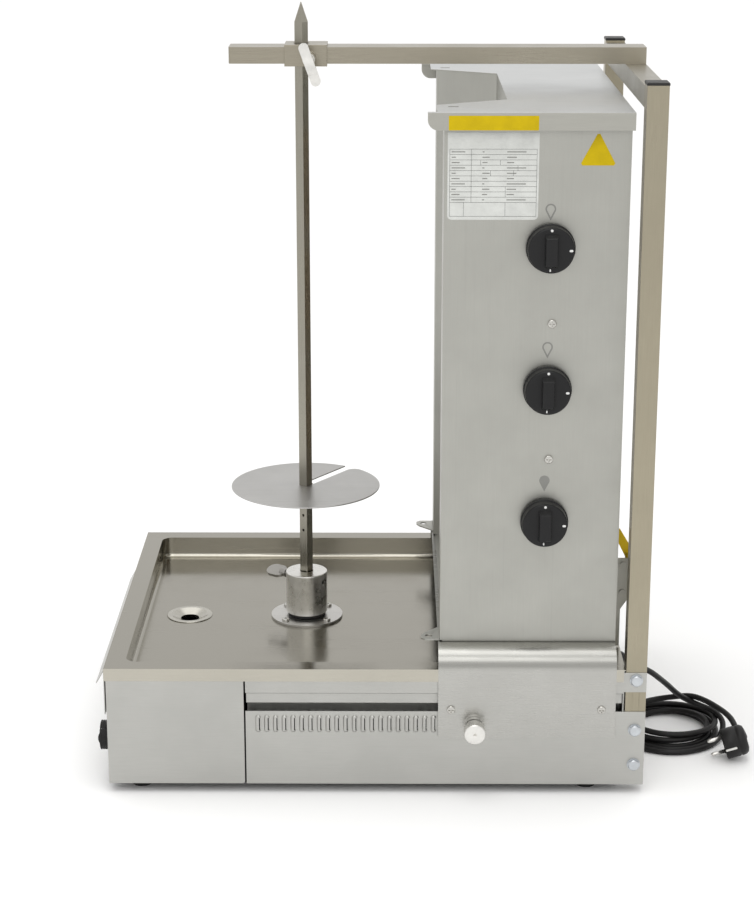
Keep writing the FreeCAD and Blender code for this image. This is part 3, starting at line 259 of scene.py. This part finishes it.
def turned_metal(name, colour, roughness):
    """Machined bar stock: rings round each axis are left to the shape, with a fine even tooth."""
    material, tree, shader = new_material(name, 1.0, colour)
    tooth = noise(tree, 0.0004, 3.0)
    blotch = noise(tree, 0.012, 4.0)
    tone = blend_colours(tree, spread(tree, blotch, 0.0, 1.0), shade(colour, 0.88), shade(colour, 1.05))
    tree.links.new(tone, shader.inputs["Base Color"])
    rough = add_maths(tree, "ADD", spread(tree, blotch, roughness - 0.06, roughness + 0.08),
                      spread(tree, tooth, -0.03, 0.04))
    tree.links.new(rough, shader.inputs["Roughness"])
    add_bump(tree, shader, tooth, 0.00003, 0.3)
    return material


def moulded_plastic(name, colour, roughness, grain_size, height, sheen=0.5, dusty=0.02):
    """Moulded plastic or rubber with a fine spark-eroded grain and a little dust in it."""
    material, tree, shader = new_material(name, 0.0, colour)
    shader.inputs["Specular IOR Level"].default_value = sheen
    grain = noise(tree, grain_size, 3.0)
    dust = noise(tree, 0.02, 5.0)
    tone = blend_colours(tree, spread(tree, dust, 0.0, 1.0, 0.35, 0.75), colour,
                         tuple(c * 0.8 + dusty for c in colour))
    tree.links.new(tone, shader.inputs["Base Color"])
    rough = add_maths(tree, "ADD", spread(tree, dust, roughness - 0.05, roughness + 0.1),
                      spread(tree, grain, -0.04, 0.04))
    tree.links.new(rough, shader.inputs["Roughness"])
    add_bump(tree, shader, grain, height, 0.4)
    return material


def rough_casting(name, colour, metallic, roughness, size, height):
    """Cast or fired surface: coarse grain, soot and heat stains."""
    material, tree, shader = new_material(name, metallic, colour)
    coarse = noise(tree, size, 6.0)
    stain = noise(tree, 0.04, 4.0)
    tone = blend_colours(tree, spread(tree, stain, 0.0, 1.0), shade(colour, 0.7), shade(colour, 1.1))
    tree.links.new(tone, shader.inputs["Base Color"])
    tree.links.new(spread(tree, coarse, roughness - 0.1, roughness + 0.1), shader.inputs["Roughness"])
    add_bump(tree, shader, coarse, height, 0.6)
    return material


GRAIN_X = (60, 1, 1)
GRAIN_Y = (1, 60, 1)
GRAIN_Z = (1, 1, 60)
STEEL = (0.455, 0.453, 0.431)
SATIN = (0.365, 0.348, 0.302)
WARM_STEEL = (0.345, 0.312, 0.236)
COVER_STEEL = (0.405, 0.400, 0.365)
# the cover's upper faces lighter than its sides: painted light
COVER_PAINTED_LIGHT = (0.535, 0.545, 0.545)
SKIRT_STEEL = (0.442, 0.438, 0.416)
# the saddle's upper faces darker than its skirt: painted shade
NOSE_PAINTED_SHADE = (0.330, 0.327, 0.308)


def make_materials():
    """One material for each look, by name."""
    return {
        "panel_x": brushed_steel("panel_steel_lengthwise", STEEL, 0.38, GRAIN_X, 0.05, 0.04),
        "panel_y": brushed_steel("panel_steel_crosswise", STEEL, 0.38, GRAIN_Y, 0.05, 0.04),
        # base pan kept nearly black: painted shade under the base
        "pan": brushed_steel("pan_steel_painted_shade", (0.07, 0.07, 0.068), 0.6, GRAIN_X),
        # tray: lighter sides and darker upper faces of one steel, painted light and painted shade
        "tray": paint_light_on_upper_faces(brushed_steel("tray_steel", shade(SATIN, 1.25), 0.17, GRAIN_X, 0.04, 0.05),
                                 shade(SATIN, 0.86), 0.5, 0.9),
        "tower": brushed_steel("tower_steel", (0.398, 0.396, 0.366), 0.42, GRAIN_Z, 0.04, 0.04),
        # saddle: darker upper faces on the nose, painted shade
        "saddle": paint_light_on_upper_faces(brushed_steel("saddle_steel", SKIRT_STEEL, 0.28, GRAIN_X, 0.04, 0.04),
                                   NOSE_PAINTED_SHADE, 0.05, 0.25),
        # cover: lighter upper faces, painted light
        "cover": paint_light_on_upper_faces(brushed_steel("cover_steel", COVER_STEEL, 0.34, GRAIN_X, 0.04, 0.04),
                                  COVER_PAINTED_LIGHT),
        "post": brushed_steel("post_steel", WARM_STEEL, 0.33, GRAIN_Z),
        "rail_x": brushed_steel("arm_steel", (0.325, 0.298, 0.240), 0.30, GRAIN_X),
        "rail_y": brushed_steel("cross_bar_steel", (0.33, 0.312, 0.262), 0.33, GRAIN_Y),
        "spit": brushed_steel("spit_steel", (0.31, 0.295, 0.25), 0.28, GRAIN_Z),
        "disc": brushed_steel("disc_steel", (0.455, 0.450, 0.440), 0.40, GRAIN_X),
        "flange": brushed_steel("flange_steel", (0.55, 0.54, 0.52), 0.30, GRAIN_X, 0.03, 0.04),
        "drain": turned_metal("drain_stainless", (0.46, 0.445, 0.40), 0.22),
        "turned": turned_metal("turned_stainless", (0.74, 0.73, 0.70), 0.29),
        "fastener": turned_metal("bright_fasteners", (0.52, 0.51, 0.48), 0.22),
        "plated": turned_metal("plated_pins", (0.74, 0.73, 0.70), 0.34),
        "zinc": turned_metal("zinc_plated_bolts", (0.55, 0.575, 0.60), 0.42),
        "gear": turned_metal("gear_steel", (0.36, 0.36, 0.37), 0.4),
        "pipe": turned_metal("drawn_pipe", (0.40, 0.40, 0.41), 0.4),
        "nickel": turned_metal("nickel_plated_cock", (0.32, 0.31, 0.29), 0.36),
        "brass": turned_metal("machined_brass", (0.62, 0.45, 0.18), 0.3),
        "enamel": moulded_plastic("motor_enamel", (0.06, 0.065, 0.075), 0.4, 0.0015, 0.00008),
        "rubber": moulded_plastic("moulded_rubber", (0.016, 0.016, 0.016), 0.6, 0.0007, 0.00008, 0.3, 0.012),
        "nylon": moulded_plastic("black_nylon", (0.012, 0.0115, 0.011), 0.42, 0.0005, 0.00005, 0.3, 0.008),
        "acetal": moulded_plastic("white_acetal", (0.62, 0.62, 0.58), 0.4, 0.0005, 0.00003),
        "knob": moulded_plastic("knob_phenolic", (0.007, 0.007, 0.0075), 0.38, 0.0004, 0.00004, 0.26, 0.004),
        "yellow": moulded_plastic("yellow_dip", (0.62, 0.42, 0.004), 0.34, 0.003, 0.00015, 0.3, 0.004),
        "cord": moulded_plastic("cord_rubber", (0.007, 0.0065, 0.0065), 0.42, 0.0006, 0.00006, 0.28, 0.005),
        "plug": moulded_plastic("plug_rubber", (0.008, 0.0075, 0.0075), 0.45, 0.0005, 0.00008, 0.28, 0.006),
        "iron": rough_casting("cast_burner", (0.11, 0.10, 0.095), 0.7, 0.62, 0.0018, 0.0004),
        "ceramic": rough_casting("fired_ceramic", (0.66, 0.56, 0.43), 0.0, 0.8, 0.0012, 0.0002),
        "wire": rough_casting("heat_tinted_wire", (0.34, 0.29, 0.23), 1.0, 0.42, 0.0012, 0.0001),
        "paper": moulded_plastic("label_paper", (0.60, 0.61, 0.585), 0.55, 0.0004, 0.00002, 0.3),
        "ink": moulded_plastic("label_ink", (0.06, 0.06, 0.06), 0.6, 0.0004, 0.00001, 0.3),
        "label_yellow": moulded_plastic("yellow_film", (0.53, 0.385, 0.003), 0.45, 0.0006, 0.00001, 0.12,
                                        0.002),
        "white_mark": moulded_plastic("white_mark", (0.72, 0.72, 0.71), 0.5, 0.0004, 0.00001),
        "grey_mark": moulded_plastic("grey_mark", (0.21, 0.21, 0.195), 0.5, 0.0004, 0.00001),
    }


LOOK_OF = {
    "base_pan": "pan", "front_cover": "panel_x", "side_panels": "panel_x", "upper_side_strips": "panel_x",
    "rear_panel": "panel_y", "grease_drawer": "panel_y", "carriage_rails": "panel_x", "tray_pan": "tray",
    "drain_fitting": "drain", "feet": "rubber", "bearing_housing": "flange", "flange_screws": "fastener",
    "shaft_bearings": "gear", "seal_ring": "rubber", "drive_shaft": "turned", "drive_gear": "gear",
    "motor_pinion": "gear", "drive_motor": "enamel", "spit_socket": "turned", "socket_screw": "nickel",
    "spit_bar": "spit", "disc_pin": "fastener", "meat_disc": "disc", "posts": "post", "cross_bar": "rail_y",
    "post_caps": "nylon", "post_bolts": "zinc", "top_arm": "rail_x", "arm_sleeve": "rail_x",
    "arm_screw": "turned", "carriage_saddle": "saddle", "slide_blocks": "acetal",
    "carriage_screws": "fastener", "lock_knob": "turned", "tower_side_near": "tower",
    "tower_side_far": "tower", "tower_back": "tower", "tower_cover": "cover", "reflectors": "tower",
    "burner_bodies": "iron", "burner_tiles": "ceramic", "burner_guards": "wire", "gas_valves": "brass",
    "gas_manifold": "pipe", "gas_cock": "nickel", "cock_lever": "yellow", "shield_ears": "tower",
    "switch_bezel": "nylon", "switch_rocker": "nylon", "cord_gland": "nylon",
}
for row in ("top", "middle", "bottom"):
    LOOK_OF["spindle_" + row] = "brass"
    LOOK_OF["knob_" + row] = "knob"

# nodes left without a broken edge: gears, wire and tiles, and thin sheets pierced by holes
SHARP = {"drive_gear", "motor_pinion", "burner_guards", "burner_tiles", "side_panels", "rear_panel",
         "tower_side_near", "tower_side_far", "carriage_saddle", "tray_pan"}
EDGE = 0.0004
WELD_GAP = 0.00001
EDGE_ANGLE = math.radians(40)


def dress_nodes(looks):
    """Gives each CAD node its material, and a small broken edge that catches the light."""
    for name, look in LOOK_OF.items():
        node = NODES[name]
        for place_in_list in range(len(node.data.materials)):
            node.data.materials[place_in_list] = looks[look]
        if not node.data.materials:
            node.data.materials.append(looks[look])
        if name in SHARP:
            continue
        weld = node.modifiers.new("weld", "WELD")
        weld.merge_threshold = WELD_GAP
        edges = node.modifiers.new("edges", "BEVEL")
        edges.width = EDGE
        edges.segments = 2
        edges.limit_method = "ANGLE"
        edges.angle_limit = EDGE_ANGLE
        edges.face_strength_mode = "FSTR_ALL"
        even = node.modifiers.new("even", "WEIGHTED_NORMAL")
        even.mode = "FACE_AREA"
        even.weight = 100
        even.keep_sharp = True
        even.use_face_influence = True


# ---- mains cord ----
CORD_D = 0.0075
EXIT_DROOP = math.radians(30)
EXIT_SWING = math.radians(25)
EXIT_WAY = Vector((math.cos(EXIT_DROOP) * math.cos(EXIT_SWING), math.cos(EXIT_DROOP) * math.sin(EXIT_SWING),
                   -math.sin(EXIT_DROOP)))
GLAND = place(0.635, 0.118, 0.131)      # where the gland's bend relief starts
RELIEF_LENGTH = 0.026
CORD_EXIT = GLAND + EXIT_WAY * RELIEF_LENGTH
PLUG_TILT = math.radians(17)
PLUG_LIFT = math.radians(12)
PLUG_BACK = Vector((math.cos(PLUG_TILT), 0, math.sin(PLUG_TILT)))
PLUG_RISE = Vector((-math.sin(PLUG_TILT), 0, math.cos(PLUG_TILT)))
PLUG_WAY = Vector((0, math.cos(PLUG_LIFT), 0)) + PLUG_RISE * math.sin(PLUG_LIFT)
PLUG_FACE = place(0.769, 0.101, 0.0194)
PLUG_CORD = PLUG_FACE + PLUG_BACK * 0.021 + PLUG_WAY * 0.026
STRAND = [CORD_EXIT, CORD_EXIT + EXIT_WAY * 0.026] + [place(*p) for p in (
    (0.690, 0.156, 0.088), (0.705, 0.177, 0.069), (0.7205, 0.1965, 0.048), (0.7364, 0.2090, 0.0335),
    (0.7554, 0.2087, 0.0255), (0.7713, 0.1983, 0.0222), (0.7800, 0.1811, 0.0178), (0.7776, 0.1622, 0.0105))]
LEAD = [PLUG_CORD, PLUG_CORD + PLUG_WAY * 0.015] + [place(*p) for p in (
    (0.7810, 0.1620, 0.0350), (0.7715, 0.1815, 0.0355), (0.7585, 0.1990, 0.0375), (0.7425, 0.2145, 0.0378),
    (0.7235, 0.2275, 0.0305), (0.7025, 0.2345, 0.0245), (0.6810, 0.2320, 0.0205), (0.6635, 0.2165, 0.0195),
    (0.6555, 0.1950, 0.0188))]
COIL_TURNS = 4.43
COIL_STEPS = 64
COIL_START = math.radians(-33)
COIL_X, COIL_Y = 0.709, 0.182           # the coil's middle, as place() counts
COIL_LOOSENESS = 0.02
# turns since the start, then the half widths along x and y, the centre's shift along y and the height
COIL_SHAPE = [
    (0.00, 0.0695, 0.0750, 0.000, 0.0050), (0.15, 0.0690, 0.0745, 0.000, 0.0040),
    (1.00, 0.0620, 0.0680, 0.001, 0.0040), (2.00, 0.0530, 0.0590, 0.002, 0.0040),
    (2.60, 0.0480, 0.0535, 0.002, 0.0042), (2.85, 0.0500, 0.0540, 0.003, 0.0118),
    (3.40, 0.0590, 0.0600, 0.003, 0.0120), (3.80, 0.0630, 0.0640, 0.003, 0.0125),
    (4.05, 0.0610, 0.0610, 0.005, 0.0192), (4.43, 0.0530, 0.0530, 0.006, 0.0200),
]


def along_table(table, value):
    """The row of numbers at value, in line between the table's rows."""
    for low, high in zip(table, table[1:]):
        if value <= high[0]:
            share = (value - low[0]) / (high[0] - low[0])
            return [a + (b - a) * share for a, b in zip(low[1:], high[1:])]
    return list(table[-1][1:])


def coil_points():
    points = []
    for step in range(COIL_STEPS):
        turn = COIL_TURNS * step / COIL_STEPS
        half_x, half_y, shift, height = along_table(COIL_SHAPE, turn)
        angle = COIL_START - 2 * math.pi * turn
        loose = 1 + COIL_LOOSENESS * math.sin(2 * angle + 0.7)
        points.append(place(COIL_X + half_x * loose * math.cos(angle),
                            COIL_Y + shift + half_y * loose * math.sin(angle), height))
    return points


def make_cord(looks, with_pieces):
    """The whole flex: down from the gland, round the coil and over it to the plug."""
    curve = bpy.data.curves.new("mains_flex", "CURVE")
    curve.dimensions = "3D"
    curve.resolution_u = 8
    curve.bevel_depth = CORD_D / 2
    curve.bevel_resolution = 5
    curve.use_fill_caps = True
    route = STRAND + coil_points() + list(reversed(LEAD))
    spline = curve.splines.new("NURBS")
    spline.points.add(len(route) - 1)
    for point, spot in zip(spline.points, route):
        point.co = (*spot, 1.0)
    spline.order_u = 3
    spline.use_endpoint_u = True
    flex = bpy.data.objects.new("mains_flex", curve)
    bpy.context.scene.collection.objects.link(flex)
    curve.materials.append(looks["cord"])
    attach(flex, "base")
    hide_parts("mains_cord", "plug_lead", "cord_coil")


PLUG_R = 0.0195
PLUG_LENGTH = 0.030
PIN_APART = 0.019
BOOT_RINGS = 5
BOOT_RING_PITCH = 0.0022
BOOT_GROOVE = 0.0011                    # how deep the gaps between the boot's rings go


def make_plug(looks):
    """Angled two-pin plug: ribbed disc body, cord boot, pins with insulated roots, earth strips."""
    radius = PLUG_R
    bm = bmesh.new()
    profile = [(0.0120, 0.0012), (0.0130, 0.0), (radius - 0.001, 0.0), (radius, 0.001), (radius, 0.017),
               (radius - 0.0008, 0.0178), (radius - 0.0008, 0.0190), (radius, 0.0198),
               (radius - 0.0005, 0.025), (radius - 0.003, 0.0285), (radius - 0.007, 0.0299),
               (0.004, PLUG_LENGTH)]
    add_lathe(bm, profile, PLUG_FACE, PLUG_BACK, 72)
    root = PLUG_FACE + PLUG_BACK * 0.021
    boot = [(0.0105, 0.004), (0.0100, 0.014)]
    for ring in range(BOOT_RINGS):
        start = 0.0152 + BOOT_RING_PITCH * ring
        wide = 0.0088 - 0.0007 * ring
        narrow = wide - BOOT_GROOVE
        boot += [(wide, start), (wide, start + 0.0012), (narrow, start + 0.0014), (narrow, start + 0.0020)]
    boot.append((CORD_D / 2 + 0.0003, 0.0262))
    add_lathe(bm, boot, root, PLUG_WAY, 40)
    body = piece_from(bm, "plug_body", "base", looks["plug"], True)
    pins = bmesh.new()
    sleeves = bmesh.new()
    for side in (-1, 1):
        foot = PLUG_FACE + PLUG_RISE * (side * PIN_APART / 2) + PLUG_BACK * 0.001
        add_lathe(sleeves, [(0.0032, 0.0), (0.0032, 0.0016), (0.0025, 0.0022)], foot, PLUG_BACK * -1, 24)
        pin = [(0.0024, 0.0), (0.0024, 0.0165), (0.0021, 0.0185), (0.0012, 0.0196), (0.0003, 0.0199)]
        add_lathe(pins, pin, foot, PLUG_BACK * -1, 24)
    pin_piece = piece_from(pins, "plug_pins", "base", looks["plated"], True)
    sleeve_piece = piece_from(sleeves, "plug_pin_roots", "base", looks["plug"], True)
    clips = bmesh.new()
    for side in (-1, 1):
        way = Vector((0, side, 0))
        origin = PLUG_FACE + way * (radius + 0.0006) + PLUG_BACK * 0.0075
        across = PLUG_RISE * side
        strip = rounded_outline(0.0028, 0.0145, (0.001,) * 4, 3)
        add_plate(clips, strip, origin, across, PLUG_BACK, 0.0016)
    clip_piece = piece_from(clips, "plug_earth_strips", "base", looks["plated"])
    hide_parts("mains_plug")
    return [body, pin_piece, sleeve_piece, clip_piece]


# ---- labels and marks ----
RIGHT = Vector((1, 0, 0))
FILM = 0.0002
INK = 0.00012
PLATE_LEFT, PLATE_LOW = 0.409, 0.708
PLATE_WIDTH, PLATE_HEIGHT = 0.104, 0.100
PLATE_ROWS = 10
ROW_PITCH = 0.0061
RULE_WIDTH = 0.0003
BAR_HEIGHT = 0.0011
# upright rules: distance from the plate's left edge, then the rows where each starts and ends
CELL_RULES = ((0.0025, 0, 11), (0.027, 0, 10), (0.1015, 0, 11), (0.0375, 2, 3), (0.060, 2, 3), (0.080, 3, 4),
              (0.049, 4, 5), (0.075, 4, 5), (0.066, 7, 9), (0.0185, 10, 11), (0.066, 10, 11))
# the bars' starts from the plate's left edge, and their greatest length
BAR_COLUMNS = ((0.0045, 0.016), (0.0395, 0.009), (0.0675, 0.022))


def make_labels(looks):
    """A rating plate of ruled boxes and blank grey bars, a plain strip and a plain triangle."""
    panel_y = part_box("tower_side_near")[0].y - CORNER.y
    lip_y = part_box("tower_cover")[0].y - CORNER.y
    left, width, low, height = PLATE_LEFT, PLATE_WIDTH, PLATE_LOW, PLATE_HEIGHT
    bm = bmesh.new()
    add_plate(bm, rounded_outline(width, height, (0.005, 0.005, 0, 0)),
              place(left + width / 2, panel_y - FILM, low + height / 2), RIGHT, UP, FILM)
    piece_from(bm, "rating_plate", "carriage", looks["paper"])
    strip = bmesh.new()
    add_plate(strip, rounded_outline(0.1015, 0.0165, (0.0008,) * 4, 3), place(0.4603, lip_y - FILM, 0.8205),
              RIGHT, UP, FILM)
    piece_from(strip, "cover_strip", "carriage", looks["label_yellow"])
    print_y = panel_y - FILM - INK
    rows = [0.081 - ROW_PITCH * k for k in range(PLATE_ROWS + 1)] + [0.004]
    rules = bmesh.new()
    for level in rows:
        line = rounded_outline(width - 0.005, RULE_WIDTH, (0,) * 4)
        add_plate(rules, line, place(left + width / 2, print_y, low + level), RIGHT, UP, INK)
    for across, first, last in CELL_RULES:
        line = rounded_outline(RULE_WIDTH, rows[first] - rows[last], (0,) * 4)
        middle = low + (rows[first] + rows[last]) / 2
        add_plate(rules, line, place(left + across, print_y, middle), RIGHT, UP, INK)
    piece_from(rules, "rating_plate_rules", "carriage", looks["ink"])
    bars = bmesh.new()
    for k in range(PLATE_ROWS):
        for start, longest in BAR_COLUMNS:
            long = longest * (0.62 + 0.38 * math.cos(2.1 * k + 90 * start))
            add_plate(bars, rounded_outline(long, BAR_HEIGHT, (0.0003,) * 4, 2),
                      place(left + start + long / 2, print_y, low + rows[k] - ROW_PITCH / 2), RIGHT, UP,
                      INK)
    piece_from(bars, "rating_plate_bars", "carriage", looks["grey_mark"])
    triangle = bmesh.new()
    corners = [(-0.018, -0.0165), (0.018, -0.0165), (0.0195, -0.014), (0.0015, 0.0195), (-0.0015, 0.0195),
               (-0.0195, -0.014)]
    add_plate(triangle, corners, place(0.580, panel_y - FILM, 0.787), RIGHT, UP, FILM)
    piece_from(triangle, "plain_triangle", "carriage", looks["label_yellow"])


def teardrop(size, turns=20):
    """Outline of a drop with its point down; its round part has radius size."""
    points = []
    for k in range(turns + 1):
        angle = math.radians(-35 + 250 * k / turns)
        points.append((size * math.cos(angle), size * math.sin(angle)))
    points.append((0.0, -2.2 * size))
    return points


MARK_FILM = 0.00015
KNOB_FACE = 0.008       # the drum's face behind the front of the grip
DOT_RING = 0.0232       # the white dot's distance from the knob's axis
TICK_RING = 0.0226      # the tick marks' distance from it


def make_marks(looks):
    """Burner marks above the knobs, and the white dot and tick marks on them."""
    panel_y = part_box("tower_side_near")[0].y - CORNER.y
    for row, level, filled in (("top", 0.7205, False), ("middle", 0.558, False), ("bottom", 0.395, True)):
        outer, inner = teardrop(0.0062), teardrop(0.0044)
        bm = bmesh.new()
        origin = place(0.5275, panel_y - MARK_FILM, level)
        if filled:
            add_plate(bm, outer, origin, RIGHT, UP, MARK_FILM)
        else:
            for k in range(len(outer)):
                n = (k + 1) % len(outer)
                quad = [outer[k], outer[n], inner[n], inner[k]]
                add_plate(bm, quad, origin, RIGHT, UP, MARK_FILM)
        piece_from(bm, "burner_mark_" + row, "carriage", looks["grey_mark"])
        low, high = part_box("knob_" + row)
        centre = (low + high) / 2
        dots = bmesh.new()
        add_lathe(dots, [(0.0016, 0.0), (0.0016, 0.0004), (0.0012, 0.0005)],
                  Vector((centre.x, low.y + KNOB_FACE + 0.0001, centre.z + DOT_RING)), (0, -1, 0), 20)
        piece_from(dots, "knob_dot_" + row, row + "_knob", looks["white_mark"], True)
        ticks = bmesh.new()
        for degrees, width, height in ((0, 0.0042, 0.0026), (267, 0.0016, 0.0032)):
            angle = math.radians(degrees)
            spot = Vector((centre.x + TICK_RING * math.cos(angle), low.y + KNOB_FACE - 0.0003,
                           centre.z + TICK_RING * math.sin(angle)))
            tick = rounded_outline(width, height, (min(width, height) / 2.1,) * 4, 4)
            add_plate(ticks, tick, spot, RIGHT, UP, 0.0004)
        piece_from(ticks, "knob_ticks_" + row, row + "_knob", looks["white_mark"])


# ---- stage ----
FLOOR_REACH = 20.0
STUDIO_LIGHT = 0.98
SUN_ENERGY = 0.45
BOX_AWAY = 2.6          # the soft boxes' distance from the point that they face
BOX_WIDTH = 1.3
# each soft box: its name, its elevation in degrees, its height and its radiance
BOXES = (("front_box", 38.5, 0.96, 2.0), ("top_box", 72.5, 1.4, 2.0))


def make_stage():
    """Pale floor, an even bright studio, a weak high sun and two long soft boxes above the camera."""
    bm = bmesh.new()
    corners = ((-1, -1), (1, -1), (1, 1), (-1, 1))
    bm.faces.new([bm.verts.new((sx * FLOOR_REACH, sy * FLOOR_REACH, 0)) for sx, sy in corners])
    mesh = bpy.data.meshes.new("floor")
    bm.to_mesh(mesh)
    bm.free()
    floor = bpy.data.objects.new("floor", mesh)
    bpy.context.scene.collection.objects.link(floor)
    material, tree, shader = new_material("pale_floor", 0.0, (0.93, 0.93, 0.93))
    shader.inputs["Roughness"].default_value = 0.7
    shader.inputs["Specular IOR Level"].default_value = 0.1
    mesh.materials.append(material)

    world = bpy.data.worlds.new("studio")
    world.use_nodes = True
    world.node_tree.nodes["Background"].inputs["Color"].default_value = (1.0, 0.995, 0.985, 1.0)
    world.node_tree.nodes["Background"].inputs["Strength"].default_value = STUDIO_LIGHT
    bpy.context.scene.world = world

    sun = bpy.data.lights.new("high_sun", "SUN")
    sun.energy = SUN_ENERGY
    sun.angle = math.radians(50)
    sun_object = bpy.data.objects.new("high_sun", sun)
    sun_object.rotation_euler = Vector((0.1, -0.25, -1)).to_track_quat("-Z", "Y").to_euler()
    bpy.context.scene.collection.objects.link(sun_object)

    middle = Vector((0, 0, 0.2))
    for name, elevation, height, radiance in BOXES:
        data = bpy.data.lights.new(name, "AREA")
        data.shape = "RECTANGLE"
        data.size = BOX_WIDTH
        data.size_y = height
        data.energy = radiance * math.pi * data.size * height
        light = bpy.data.objects.new(name, data)
        rise = math.radians(elevation)
        light.location = middle + Vector((0, -math.cos(rise), math.sin(rise))) * BOX_AWAY
        light.rotation_euler = (middle - light.location).to_track_quat("-Z", "Y").to_euler()
        bpy.context.scene.collection.objects.link(light)
    bpy.context.scene.view_settings.view_transform = "Standard"


make_camera()
LOOKS = make_materials()
make_cord(LOOKS, make_plug(LOOKS))
dress_nodes(LOOKS)
make_labels(LOOKS)
make_marks(LOOKS)
make_stage()
